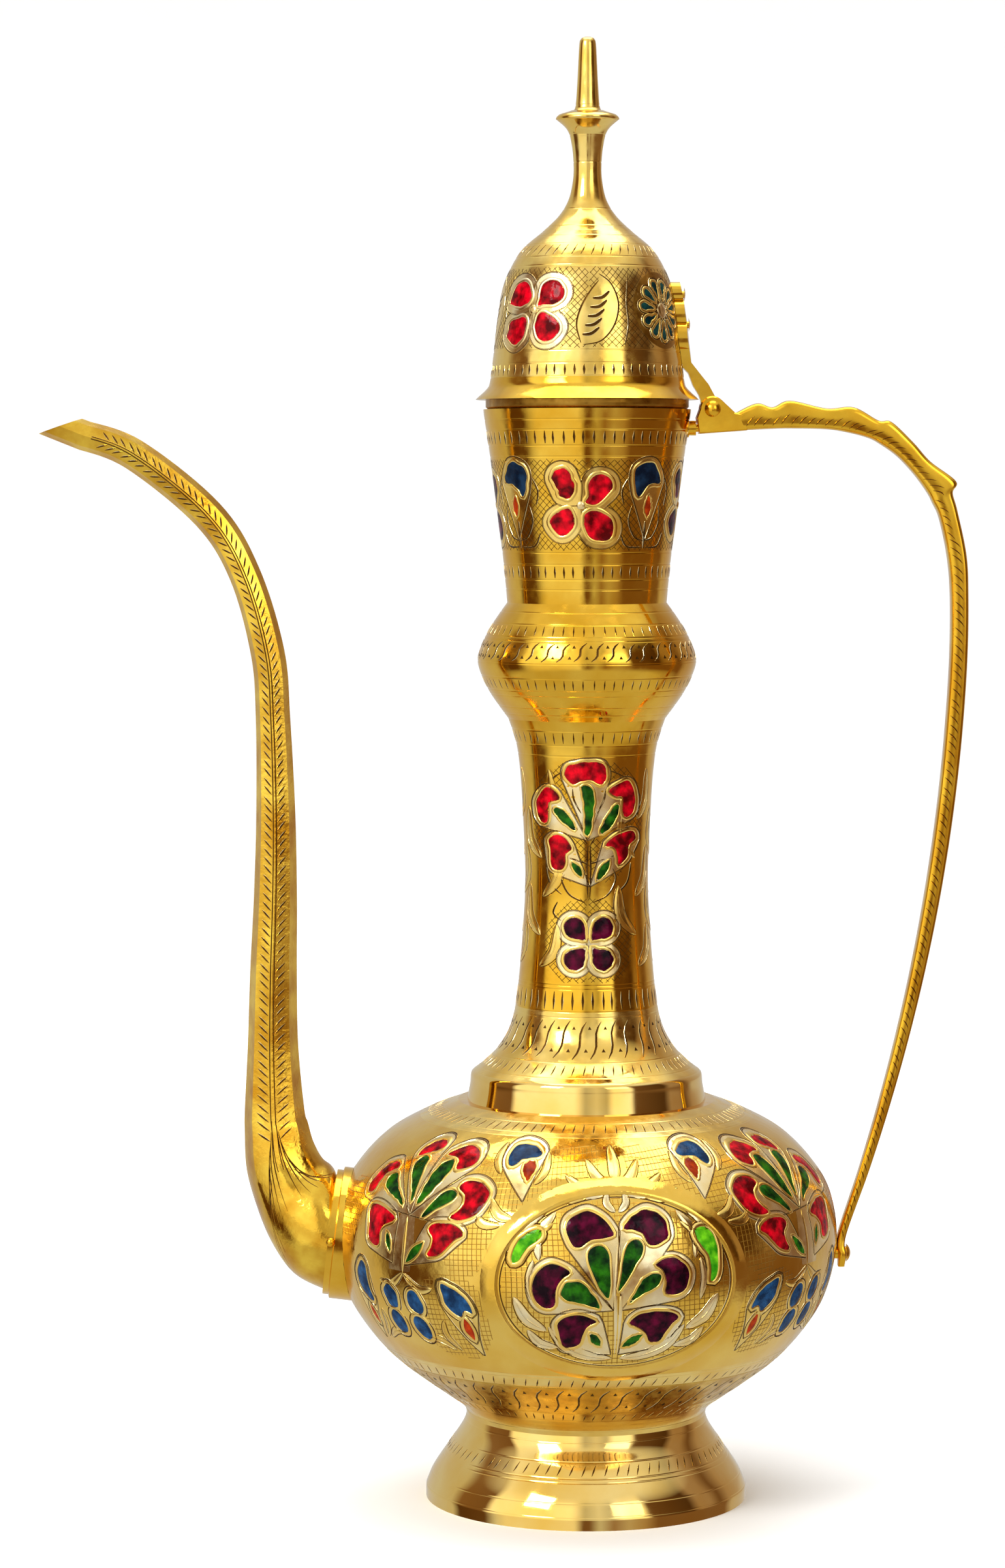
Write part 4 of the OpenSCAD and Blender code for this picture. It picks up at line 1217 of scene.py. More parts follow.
    def blades(self, spot: Spot, leaves: Iterable[Leaf], metal: Metal = Metal.BRIGHT) -> None:
        """Raises smooth leaves and stems, with a vein and engraved edges where they are wide.

        Args:
            spot: Where they lie.
            leaves: Width and middle line of each.
            metal: Their finish.
        """
        for width, points in leaves:
            line = smooth_line(points, 6)
            k = np.linspace(0, 1, len(line))
            off = 0.5 * width * (0.08 + np.sin(math.pi * k) ** 0.7)[:, None] * self.BLADE
            grid = ribbon(line, off)
            self.work.strip(self.raised(spot, grid, self.BLADE_HEIGHTS, 0.7), metal)
            self.keep_smooth(spot, np.concatenate([grid[:, 0], grid[::-1, -1]]))
            if width > self.VEINED:
                self.cut(spot.place, [line[2:-2]], 0.4, True, 0.15)
                for edge in (1.1, -1.1):
                    side = line + across(line) * edge * off[:, -1:]
                    free = self.clear(spot.where(side), 0.9)
                    self.cut(spot.place, kept(side, free, 3), 0.34)

    def hub(self, spot: Spot, r: float) -> None:
        """Raises a small round boss.

        Args:
            spot: Where it lies.
            r: Its radius.
        """
        rings = np.stack([oval(r * share, r * share, self.HUB_SIDES) for share, _ in self.HUB])
        heights = np.array([[height] for _, height in self.HUB])
        verts = spot.place(rings[..., 0], rings[..., 1], heights)
        self.work.add(verts, grid_faces(len(self.HUB), self.HUB_SIDES, True), Metal.BRIGHT)
        self.work.add(verts[-1], np.arange(self.HUB_SIDES)[None], Metal.BRIGHT)

    def enamel(self, tint: Tint) -> MeshWork:
        """Fills the cells of one tint with domed glass.

        Args:
            tint: The colour.

        Returns:
            The mesh.
        """
        work = MeshWork()
        for cell in self.cells:
            if cell.tint is tint:
                points, faces, depth = filled(cell.shape, self.GLASS_PITCH)
                swell = np.clip(depth / self.GLASS_SHOULDER, 0, 1)
                uneven = self.rng.normal(0, self.GLASS_UNEVEN, len(points))
                h = self.GLASS_EDGE + self.GLASS_DOME * np.sqrt(1 - (1 - swell) ** 2) + uneven
                work.add(cell.spot.place(*points.T, h), faces)
        return work


# Pieces

Zones = tuple[tuple[float, float, Metal], ...]
Bands = tuple[Band, ...]
Glass = tuple[tuple[str, Tint], ...]


@dataclass
class Turned:
    """A turned brass piece with its ornament."""

    node: str
    runs: Runs
    body: Body = Body.VESSEL
    grooves: Sizes = ()
    metal: Metal = Metal.POLISHED
    zones: Zones = ()
    bands: Bands = ()
    glass: Glass = ()
    hollow: bool = True
    wall: float = 1.8
    groove_w: float = 0.42
    groove_d: float = 0.1
    work: MeshWork = field(default_factory=MeshWork)

    def __post_init__(self) -> None:
        """Draws the outline and prepares the ornament on it."""
        self.profile = Profile(self.runs)
        self.ornament = Ornament(self.profile, self.work, SEED + len(self.node))

    def spot(self, angle: float, z: float) -> Spot:
        """Flat coordinates round a place on the piece."""
        return Spot(self.profile, angle, z)

    def build(self) -> None:
        """Turns the outside, and the inside and the two edges of a hollow piece."""
        rings = self.profile.rings(self.grooves, self.groove_w, self.groove_d)
        mid = (rings[1:, 1] + rings[:-1, 1]) / 2
        finish = np.full(len(mid), self.metal.value)
        for bottom, top, metal in self.zones:
            finish[(mid > bottom) & (mid < top)] = metal.value
        self.work.lathe(rings, finish)
        if self.hollow:
            inner = self.profile.inner(self.wall, rings[0, 1], rings[-1, 1])
            self.work.lathe(inner)
            self.work.lathe(np.array([rings[-1], inner[0]]))
            self.work.lathe(np.array([inner[-1], rings[0]]))

    def decorate(self) -> None:
        """Lays the enamel and the chasing, of which a plain piece has none."""

    def dress(self, palette: Palette) -> None:
        """Builds the piece with its ornament and makes its objects.

        Args:
            palette: The materials.
        """
        self.build()
        self.decorate()
        for band in self.bands:
            self.ornament.band(band)
        made = self.work.to_object(f"{self.node}_brass", palette.metals)
        hand_over(made, self.body, "spun_brass", self.node)
        for node, tint in self.glass:
            made = self.ornament.enamel(tint).to_object(f"{node}_glass", [palette.enamels[tint]])
            hand_over(made, self.body, ENAMELS[tint].slot, node)


@dataclass
class Foot(Turned):
    """Flared ring the ewer stands on."""

    node: str = "foot_ring"
    runs: Runs = (
        ((42, 0), (42, 3)),
        ((42, 3), (40.07, 7.37), (35.58, 14.02), (32.37, 18.96), (31.3, 22)),
    )
    grooves: Sizes = (20.4, 15.9, 12.2, 11.2, 6.6, 3.4)
    metal: Metal = Metal.MIRROR
    bands: Bands = (Band(12.8, 15.2, 76, 1.1),)


@dataclass
class Belly(Turned):
    """Globe with a medallion front and back and bouquets between."""

    node: str = "belly"
    runs: Runs = (
        (
            (31.3, 22), (33.015, 25.22), (41.93, 31.66), (51.02, 38.70), (58.05, 46.70), (63.03, 55.58),
            (65.6, 68), (63.995, 80.0), (59.50, 88.24), (51.99, 95.97), (42.49, 101.30), (33.5, 104.8),
        ),
    )
    grooves: Sizes = (23.4, 26.6, 29.3, 38.5, 41.4, 42.3, 100.8, 101.6, 103.4)
    metal: Metal = Metal.PALE
    zones: Zones = ((29.3, 38.5, Metal.GROUND), (42.3, 100.8, Metal.GILT))
    bands: Bands = (
        Band(101.8, 103.2, 96, 0.4), Band(38.9, 41.0, 110, 0.8), Band(30.2, 37.8, 52, wavy=True),
        Band(27.0, 28.9, 90, 0.6),
    )
    glass: Glass = (
        ("belly_purple_enamel", Tint.PURPLE), ("belly_green_enamel", Tint.GREEN),
        ("belly_lime_enamel", Tint.LIME), ("belly_red_enamel", Tint.RED),
        ("belly_blue_enamel", Tint.BLUE), ("belly_orange_enamel", Tint.ORANGE),
    )
    panels: Sizes = (6.0, 174.0)
    medallion_z: float = 68.5
    medallion_a: float = 29.4
    medallion_b: float = 21.8
    sink: float = -1.4
    root_x: float = 0.6
    root_gap: float = 1.8
    bouquet_turn: float = 52.0
    bouquet_z: float = 76.0
    bud_turn: float = 25.0
    bud_z: float = 91.0
    crown_z: float = 95.0

    FLOOR = ((31.2, 22.05), (0.01, 22.05))
    SHOULDER = ((33.5, 104.8), (29.0, 105.0))
    BORDER = (
        (0.0, -0.05), (0.35, 0.36), (1.0, 0.52), (1.9, 0.5), (2.9, 0.34), (3.9, 0.1), (4.4, -0.05),
    )
    HATCHED = ((12, 96, 10), (27, 88, 13), (35, 76, 8), (39, 57, 12), (78, 80, 8))
    PETALS = (
        ((1.6, 12.8), (4.3, 12.3), (6.2, 11.4), (7.1, 10), (8, 8.6), (9.8, 8.7), (12.4, 10.2),
         (12.6, 12.5), (11.8, 14.7), (10.1, 16.1), (7.4, 17), (5.1, 16.2), (3.2, 15)),
        ((-1.1, 11.2), (-1.4, 12.4), (-2.6, 14.2), (-4.5, 15.8), (-7.2, 16.9), (-9.9, 16.1),
         (-12, 14.8), (-12.7, 12.8), (-12.2, 10.8), (-11, 8.5), (-9.2, 8.4), (-8.1, 9.3), (-6.4, 10.2),
         (-3.7, 10.5)),
        ((9.2, 3.9), (10.7, 2.9), (11.7, 1.4), (12.2, -0.9), (12, -3.6), (14.9, -3.9), (17, -2.5),
         (17.9, -0.2), (17.9, 2), (16.4, 4), (14.1, 5.2), (11.4, 5.1)),
        ((-12, 2), (-13.1, 3.1), (-16.5, 4.3), (-19.2, 2.8), (-20.8, 0.5), (-21.2, -2), (-20.4, -5),
         (-18.8, -6.7), (-16.8, -7), (-15.6, -6), (-15.6, -3.9), (-15.2, -1.2), (-13.8, 0.6)),
        ((3, -10.8), (4.4, -11.8), (6, -12.6), (7.4, -14.1), (8.2, -15.9), (9.6, -16.4), (11, -15.9),
         (12.3, -13.8), (13.9, -11.6), (15.4, -10), (14, -8.7), (10.9, -8.1), (7.7, -8.2), (5, -8.9)),
        ((-5.2, -10.5), (-7.3, -9.3), (-10, -8.7), (-13.1, -9.4), (-14.9, -11.2), (-14.4, -13.3),
         (-13.8, -15.5), (-12.9, -17.4), (-10.8, -17.4), (-9.2, -16.4), (-8.6, -14.1), (-7.6, -11.8)),
    )
    LEAVES = (
        ((0, -2.6), (2.6, 1), (4.4, 4.2), (5.8, 6.2), (6.2, 8.4), (5.2, 9.9), (3.6, 9.9), (2.2, 8.6),
         (1.2, 5.4), (0.6, 1)),
        ((-2.5, -4.4), (-2.1, -0.4), (-2.2, 3.4), (-2.4, 6.6), (-3.4, 8.3), (-5.3, 8.7), (-7.2, 7.6),
         (-7.6, 5.5), (-6.3, 1.8), (-4.4, -2.2)),
        ((2.6, -5.8), (4.6, -4.4), (7, -3), (9.4, -1.8), (10.6, -0.2), (10.6, 1.2), (9.3, 1.7),
         (7.5, 1.2), (5.8, -0.2), (4.1, -3.2)),
        ((-4.7, -7), (-5.2, -5), (-6.9, -2.8), (-8.8, -0.7), (-10.8, 0), (-12.9, -0.4), (-13.9, -2.1),
         (-14.1, -3.7), (-12.3, -5), (-7, -6.2)),
    )
    LOW_LEAVES = ((6.2, 2, 1.3, -17.4, -57), (4.6, 2, -4, -17.1, 38))
    SIDE_LEAVES = (
        ((19.5, 11), (21.5, 7.6), (23.3, 5), (23.8, 2), (23.6, -1.2), (24.6, -0.8), (25.6, 1.4),
         (25.6, 5), (25.2, 8.4), (24.2, 10.6), (22.4, 12.1), (20.3, 12.2)),
        ((-25.9, 4), (-24.4, 4.8), (-23.4, 6.6), (-21.9, 8.4), (-20, 9.6), (-18.8, 11), (-19, 12.2),
         (-20.8, 12.1), (-23, 10.8), (-24.7, 9), (-26, 5.8)),
    )
    BOUQUET_PETALS = (
        ((2.4, 19.9), (5.6, 19.7), (7.4, 19), (7.6, 18), (8.6, 17), (11.4, 17.9), (12.5, 19.2),
         (11.4, 20.9), (9.2, 22), (6.4, 22.2), (3.8, 21.2)),
        ((-7.4, 18.6), (-5.4, 19.3), (-3.4, 20), (-1.6, 20.6), (-0.8, 21.6), (-1.8, 22.4), (-4, 22.5),
         (-6.2, 21.6), (-7.6, 20)),
        ((12.3, 13.2), (14.8, 11.7), (15.8, 9.6), (15, 7.8), (13.4, 6.3), (15.4, 5.8), (17.8, 6.2),
         (20.2, 7.6), (21.2, 10), (21.2, 12.4), (18.6, 14.4), (16, 15), (13.2, 14.6)),
        ((-12, 16), (-13.4, 16.5), (-17.2, 15.4), (-19.8, 13), (-21.2, 10.6), (-20.8, 9), (-18.8, 8.5),
         (-17.4, 9.8), (-16.8, 12), (-15, 14), (-12.6, 14.9)),
        ((7.9, 2.8), (9.5, 1), (9.4, -1.2), (8.3, -3.5), (10.4, -3.5), (12.6, -2.6), (14.6, -0.6),
         (16.3, 1.2), (18.1, 2.6), (15, 4.6), (12, 4.8), (9, 4.2)),
        ((-16.3, 5), (-15.4, 1.6), (-14.8, -2), (-12, -3.4), (-9.8, -2.9), (-9.8, 0), (-8.6, 1.8),
         (-6.6, 2.9), (-4.6, 4), (-6.8, 5.2), (-11, 6.3), (-14.6, 6.3)),
    )
    BOUQUET_LEAVES = (
        ((1.7, 8.2), (3.6, 10), (5.2, 13), (6.4, 15.6), (6.7, 17.6), (5.8, 18.8), (3.8, 18.6),
         (2.2, 16.6), (1.7, 13.8), (1.6, 10.6)),
        ((-0.6, 8.5), (-0.6, 10.8), (-1.4, 13.8), (-2.2, 16.4), (-2.6, 18.3), (-4, 18.9), (-5.8, 18.4),
         (-6.4, 17), (-5.4, 14.8), (-3.6, 12.8), (-2, 11)),
        ((4.6, 5.4), (6.2, 6), (8.2, 7.7), (10.4, 9), (12.4, 10.4), (12.6, 11.8), (10.8, 12.5),
         (8.6, 11.8), (7, 9.8), (5.4, 7.2)),
        ((-3, 7.2), (-4.4, 9), (-7.4, 11), (-9.2, 12.6), (-10.4, 14), (-12.4, 14), (-13.8, 12.6),
         (-13.2, 11), (-10, 9.6), (-6.2, 8.6)),
    )
    BOUQUET_FEET = ((8, 2.2, 1.2, -6.2, -44), (5.2, 1.7, -5, -4.2, 22))
    LOW_BUDS = (
        ((12.5, -10.4), (12.8, -13.4), (13.4, -15.8), (15.8, -18), (17.2, -18.3), (18.1, -16.9),
         (19, -16.7), (20.5, -17.2), (19.6, -14.2), (17.3, -12), (14.8, -10.9)),
        ((-19.6, -9.4), (-21.2, -12), (-20.6, -15.2), (-18, -17.2), (-15.4, -18.6), (-14.2, -18),
         (-15.4, -15.4), (-16, -12.6), (-16.2, -9.6), (-18, -8.4)),
    )
    BUD_FEET = ((6, 2.2, 18.8, -24.6, 10), (5.8, 1.8, -14.8, -24.8, 25))
    STALK = ((-5.2, -8.6), (2.6, -8.6), (3.8, -2.0), (2.4, 6.5), (-2.4, 6.5), (-5.2, -2.0))
    LOW_FLOWER = ((-5.9, -15.8), (3.1, -16.3), (-5, -22.5), (3.5, -23))
    TOP_BUD = (
        (-3.8, 5.1), (-2.5, 3.7), (-1.2, 4.4), (-0.3, 5.4), (1.5, 5.6), (4.3, 6.3), (3.9, 7.1),
        (2.3, 7.9), (0, 8.4), (-2, 8.3), (-3.6, 7.4),
    )
    STEMS = (
        (0.9, ((0.3, -19.5), (0.5, -11), (0.7, -5), (0.6, 2), (0.2, 9))),
        (2.4, ((1, -20.6), (7, -19.8), (13, -17), (17, -12))),
        (2.6, ((17.5, -13), (22.4, -10), (25.6, -4.5))),
        (2.0, ((14.4, -17.6), (19, -16.4), (22, -13))),
        (2.2, ((19.6, 5), (19.6, 11), (15, 16.6))),
        (1.8, ((23.4, 10.6), (20.6, 14.6), (16.6, 17.8))),
        (1.6, ((21, -5.5), (22, 0), (21, 5))),
        (1.6, ((0.4, 16.6), (2.4, 18.6), (2.0, 21.2))),
        (1.4, ((2.6, 20.8), (6, 20.2), (9.6, 20.4))),
    )
    BOUQUET_STEM = (1.2, ((0, -9), (0.3, -2), (0, 5)))
    BOUQUET_SPRAY = (
        (2.0, ((0, -9), (5, -12.6), (9.6, -12))), (1.8, ((3, -25.5), (8, -25.5), (12, -28))),
        (1.6, ((11.5, -20), (11, -24), (13.6, -28))),
    )
    BUD_SPRAY = (
        (2.2, ((-1, -8), (3, -7), (6.4, -2.6))), (2.2, ((-1.4, -8), (-5.4, -7.4), (-9, -3.6))),
        (2.0, ((-2, -10), (-7, -11), (-11.4, -8.6))), (2.0, ((2, -9.6), (7, -9.4), (10.4, -5.6))),
        (1.8, ((-4.6, 0), (-6.6, 3), (-6, 7))), (1.8, ((4.6, 2), (6.4, 5), (5.6, 8.6))),
    )
    CROWN_STEM = (2.6, ((0, -4), (0.3, 0), (0, 4.6)))
    CROWN = (
        (2.2, ((0.6, -4), (4, -2.4), (6.4, 1.6))), (2.0, ((3, -5), (8, -4.6), (12, -1.6))),
        (1.8, ((7, -6.4), (12, -7), (16, -5))),
    )

    def beside(self, angle: float, z: float) -> list[tuple[Spot, float]]:
        """Spots each side of both medallions, with the sign of the side."""
        return [(self.spot(p + s * angle, z), float(s)) for p in self.panels for s in (1, -1)]

    def ring(self, by: float) -> Array:
        """Oval of a medallion, wider by a distance."""
        return moved(oval(self.medallion_a + by, self.medallion_b + by), 0, self.sink)

    def medallion(self, spot: Spot) -> None:
        """Cells of a medallion and the leaves they lie in.

        Args:
            spot: Where it lies.
        """
        art, petals = self.ornament, all_cut(self.PETALS)
        art.flower(spot, petals, Tint.PURPLE, 0.9, outline=False)
        art.flower(spot, all_cut(self.LEAVES) + sprigs(self.LOW_LEAVES), Tint.GREEN, 0.7, outline=False)
        art.flower(spot, all_cut(self.SIDE_LEAVES), Tint.LIME, 1.2)
        for side in (0, 1):
            x = self.root_x - self.root_gap * side
            art.lobes(spot, [petals[side], petals[2 + side]], (x, -7.5), 1.6, Metal.BRIGHT)
            art.lobes(spot, [petals[4 + side]], (x, -19.5), 1.6, Metal.BRIGHT)

    def bouquet(self, spot: Spot, side: float) -> None:
        """Cells of a bouquet, of the flower and buds under it, and the leaves they lie in.

        Args:
            spot: Where it lies.
            side: Sign of its side of the medallion.
        """
        art = self.ornament
        petals, buds = facing(all_cut(self.BOUQUET_PETALS), side), facing(all_cut(self.LOW_BUDS), side)
        leaves = facing(all_cut(self.BOUQUET_LEAVES) + sprigs(self.BOUQUET_FEET), side)
        flower = facing([moved(oval(2.4, 3.2, 32), x, y, 30) for x, y in self.LOW_FLOWER], side)
        stalk = facing([resample(np.array(self.STALK), 48)], side)[0]
        art.flower(spot, petals, Tint.RED, 0.9, outline=False)
        art.flower(spot, leaves, Tint.GREEN, 0.7, outline=False)
        art.flower(spot, flower + buds, Tint.BLUE, 1.0)
        art.flower(spot, facing(sprigs(self.BUD_FEET), side), Tint.ORANGE, 0.8)
        art.patch(spot, stalk, Metal.BRIGHT, 0.012)
        art.lobes(spot, petals[:4], (-0.4 * side, 5.5), 1.5, Metal.BRIGHT)
        for petal, x in zip(petals[4:], (0.9, -3.6)):
            art.lobes(spot, [petal], (-side * x, -7.0), 1.5, Metal.BRIGHT)
        for bud, x in zip(buds, (19.3, -15.6)):
            art.lobes(spot, [bud], (-side * x, -29.0), 1.6)

    def top_bud(self, spot: Spot, side: float) -> None:
        """Cells of a bud beside the crown, and the leaf it lies in.

        Args:
            spot: Where it lies.
            side: Sign of its side of the medallion.
        """
        art = self.ornament
        head, foot = facing([hand_cut(self.TOP_BUD), moved(drop(4.6, 3.2), 2.8, 0.6, 8)], side)
        art.flower(spot, [head], Tint.BLUE, outline=False)
        art.flower(spot, [foot], Tint.ORANGE, 0.8, outline=False)
        art.lobes(spot, [head], (-2.8 * side, -4.0), 1.6, Metal.BRIGHT)

    def border(self, spot: Spot) -> None:
        """Smooth raised border round a medallion, with an engraved line inside it.

        Args:
            spot: Where the medallion lies.
        """
        offsets, heights = np.array(self.BORDER).T
        rings = np.stack([self.ring(by) for by in offsets], 1)
        self.work.strip(closed(spot.place(rings[..., 0], rings[..., 1], heights)), Metal.GILT)
        self.ornament.keep_smooth(spot, self.ring(offsets[-1]))
        self.ornament.cut(spot.place, [closed(self.ring(-0.4))], 0.36, False)

    def net(self, spot: Spot) -> None:
        """Raises the fine lines inside a medallion's border.

        Args:
            spot: Where the medallion lies.
        """
        art, edge, far = self.ornament, self.ring(-0.6), 31
        run = np.arange(-far, far, art.HATCH_STEP)
        for slant in (2, 92):
            for line in ruled(slant, run, np.arange(-far, far, 1.3)):
                keep = inside(line, edge)
                if keep.any():
                    keep[keep] = art.bare(spot.where(line[keep]), 1.2)
                # The dark brown of these raised lines is patina and painted groove shade
                art.ridge(spot.place, kept(line, keep), 0.4, Metal.SCORED)

    def sprays(self) -> None:
        """Leaves and stems round the bouquets and the buds."""
        art, spray, crown = self.ornament, self.BOUQUET_SPRAY, self.CROWN
        for spot, _ in self.beside(self.bouquet_turn, self.bouquet_z):
            art.blades(spot, [self.BOUQUET_STEM, *spray, *flipped(spray)], Metal.PALE)
        for spot, side in self.beside(self.bud_turn, self.bud_z):
            art.blades(spot, self.BUD_SPRAY if side > 0 else flipped(self.BUD_SPRAY), Metal.PALE)
        for p in self.panels:
            leaves = [self.CROWN_STEM, *crown, *flipped(crown)]
            art.blades(self.spot(p, self.crown_z), leaves, Metal.PALE)

    def decorate(self) -> None:
        """Closes the floor and the shoulder and lays the enamel, chasing and hatching."""
        for line in (self.FLOOR, self.SHOULDER):
            self.work.lathe(np.array(line))
        spots = [self.spot(p, self.medallion_z) for p in self.panels]
        for spot in spots:
            self.medallion(spot)
        for spot, side in self.beside(self.bouquet_turn, self.bouquet_z):
            self.bouquet(spot, side)
        for spot, side in self.beside(self.bud_turn, self.bud_z):
            self.top_bud(spot, side)
        self.ornament.lay_cells()
        for spot in spots:
            self.ornament.blades(spot, [*self.STEMS, *flipped(self.STEMS)])
            self.net(spot)
            self.border(spot)
        self.sprays()
        near = [
            (p + side * angle, z, reach)
            for p in self.panels
            for side in (1, -1)
            for angle, z, reach in self.HATCHED
        ]
        self.ornament.hatch(46, 99.5, 1.3, (4, 94), Metal.SCORED, np.array(near))


@dataclass
class Neck(Turned):
    """Waisted tube with a polished band at its base and a bouquet front and back."""

    node: str = "neck_tube"
    runs: Runs = (
        ((31.2, 104.8), (30.4, 109.0), (30.2, 111.8)),
        (
            (29.63, 112.4), (25.80, 115.41), (22.11, 119.68), (19.41, 125.46), (17.85, 135.0),
            (16.57, 150.07), (16, 162.63), (16.40, 175.19), (17.19, 189.01), (18.29, 197.80), (20.4, 204.5),
        ),
    )
    grooves: Sizes = (113.7, 117.2, 128.2, 129.6, 135.4, 136.4, 195.5, 198.2, 202.0)
    zones: Zones = (
        (104.0, 112.4, Metal.MIRROR), (112.4, 129.6, Metal.PALE),
    )
    bands: Bands = (
        Band(198.8, 201.6, 46), Band(130.2, 134.8, 44, width=0.8), Band(118.2, 127.4, 30, wavy=True),
        Band(114.4, 116.6, 62, 0.6),
    )
    glass: Glass = (
        ("neck_red_enamel", Tint.RED), ("neck_green_enamel", Tint.GREEN), ("neck_purple_enamel", Tint.PURPLE),
    )
    panels: Sizes = (1.0, 181.0)
    bouquet_z: float = 181.8
    flower_z: float = 147.1
    vine_turns: Sizes = (48, 90, 132)
    vine_z: float = 166

    PETALS = (
        ((-6.2, 9.6), (-5.8, 7.8), (-4, 6.6), (-2.2, 7.3), (-0.4, 7.6), (1.6, 7.2), (3.4, 6.5),
         (4.5, 8.6), (4.2, 10.6), (3, 12.2), (0, 12.3), (-3, 12), (-5.6, 11.2)),
        ((-7.9, 2.5), (-7.9, 3.6), (-8.7, 4.7), (-10.1, 5.5), (-11.3, 5.3), (-12.5, 3.9), (-13.3, 1.9),
         (-13.2, -0.6), (-12.8, -2.3), (-11.8, -3.6), (-10.8, -3.6), (-10.4, -2.6), (-10.5, -0.6),
         (-10.4, 1.1), (-9.9, 1.8)),
        ((5.2, 4.6), (7, 3.3), (8.6, 3.2), (8.9, 1.6), (8.7, -0.6), (9.6, -2.2), (11.3, -1.2),
         (12, 0.8), (12, 3), (11.3, 5.9), (10, 7.4), (7.9, 6.7), (5.9, 5.7)),
        ((-10.4, -8.5), (-9.7, -10.5), (-9.7, -13.6), (-9.2, -15.3), (-8.2, -15.8), (-7, -15.7),
         (-6.3, -14.4), (-6.1, -11.9), (-5.1, -10.9), (-4.4, -10.2), (-5.4, -8.2), (-6.5, -7.2),
         (-8.6, -6.7), (-10.1, -7.5)),
        ((4.2, -9.4), (5.9, -9.6), (7, -10.5), (7.5, -12.2), (7.7, -14.4), (9.6, -13), (10.3, -11.6),
         (10.4, -9.5), (11.5, -8.6), (12.3, -7.9), (11.5, -5.8), (7.9, -6.4), (5.9, -7.5)),
    )
    LEAVES = (
        ((-2, 5.9), (-1.7, 4.2), (-1.3, 2.5), (-1, -0.6), (-1, -3.7), (-1, -6.1), (0, -6.5),
         (0.6, -4.3), (1.1, -0.6), (1.3, 3), (0.8, 5), (-0.3, 6.4)),
        ((-8.9, 0.2), (-8.9, -0.6), (-8.2, -1.7), (-6.2, -3.7), (-4.2, -5.1), (-3.4, -5.1),
         (-4.6, -2.6), (-5.9, -0.9), (-7.9, 0.4)),
        ((3, -6.3), (3.9, -6), (5.4, -4.8), (6.8, -2.9), (7.7, -0.3), (7.7, 1.1), (6.8, 1.1),
         (4.8, -1.7), (3.1, -4.8)),
    )
    LOW_LEAVES = ((4.8, 1.7, -1.6, -17.4, 36), (6.6, 2, 2, -18.5, -32))
    SCROLLS = (
        ((0.2, -23), (0.5, -16), (0.3, -9)), ((0.4, -14), (4.6, -12.6), (6.4, -12)),
        ((0.4, -9), (4, -4), (8, -1)), ((1.4, -2), (4, 3), (4, 8)), ((5.6, 10), (8.6, 8.6), (10.6, 6.4)),
        ((1, -24), (5, -22), (7, -18), (6, -15)), ((7, -22), (10, -19), (11, -14)),
        ((2, -27), (6, -29), (9, -27), (8, -24)),
    )
    VINE = (
        (2.8, ((0.4, -25), (4.6, -21), (5.2, -14))), (2.8, ((0, -17), (-4.8, -12), (-5.2, -4))),
        (2.8, ((0.4, -7), (4.8, -2), (5.2, 6))), (2.8, ((0, 3), (-4.6, 8), (-4.8, 16))),
        (2.6, ((0.4, 13), (3.8, 18), (3.6, 26))),
    )

    def decorate(self) -> None:
        """Lays the enamel, chasing and hatching."""
        art = self.ornament
        red, purple = all_cut(self.PETALS), quartet(3.8, 4.2, 7, 5.4)
        green = all_cut(self.LEAVES) + sprigs(self.LOW_LEAVES)
        for p in self.panels:
            spot, low = self.spot(p, self.bouquet_z), self.spot(p, self.flower_z)
            art.flower(spot, red, Tint.RED, 0.9, outline=False)
            art.flower(spot, green, Tint.GREEN, 0.6, outline=False)
            art.flower(low, purple, Tint.PURPLE, 0.9, outline=False)
            art.lobes(low, purple, (0.0, 0.0), 1.9, Metal.BRIGHT)
            art.lobes(spot, red[:3], (-0.3, -8.0), 1.1, Metal.BRIGHT)
            art.lobes(spot, red[3:], (0.2, -20.0), 1.1, Metal.BRIGHT)
        art.lay_cells()
        for p in self.panels:
            art.scrolls(self.spot(p, self.bouquet_z), both_ways(self.SCROLLS))
            for turn in self.vine_turns:
                art.blades(self.spot(p + turn, self.vine_z), self.VINE, Metal.PALE)
        near = [(p, z, reach) for z, reach in ((178.8, 16.5), (self.flower_z, 12.0)) for p in self.panels]
        art.hatch(137, 196, 1.2, (45, 135), Metal.DARK, np.array(near))


@dataclass
class Knop(Turned):
    """Bulge between the neck and the mouth cup."""

    node: str = "neck_knop"
    runs: Runs = (
        (
            (20.4, 204.5), (22.96, 207.96), (25.28, 211.42), (27.36, 215.64), (28.4, 219.55),
            (27.40, 223.46), (25.40, 227.68), (23.16, 231.14), (20.7, 234.6),
        ),
    )
    grooves: Sizes = (206.0, 208.0, 211.0, 212.4, 215.8, 219.5, 225.2, 226.2, 229.4, 232.4)
    bands: Bands = (
        Band(226.6, 229.0, 60), Band(220.2, 224.8, 40, wavy=True), Band(212.9, 215.3, 66),
    )


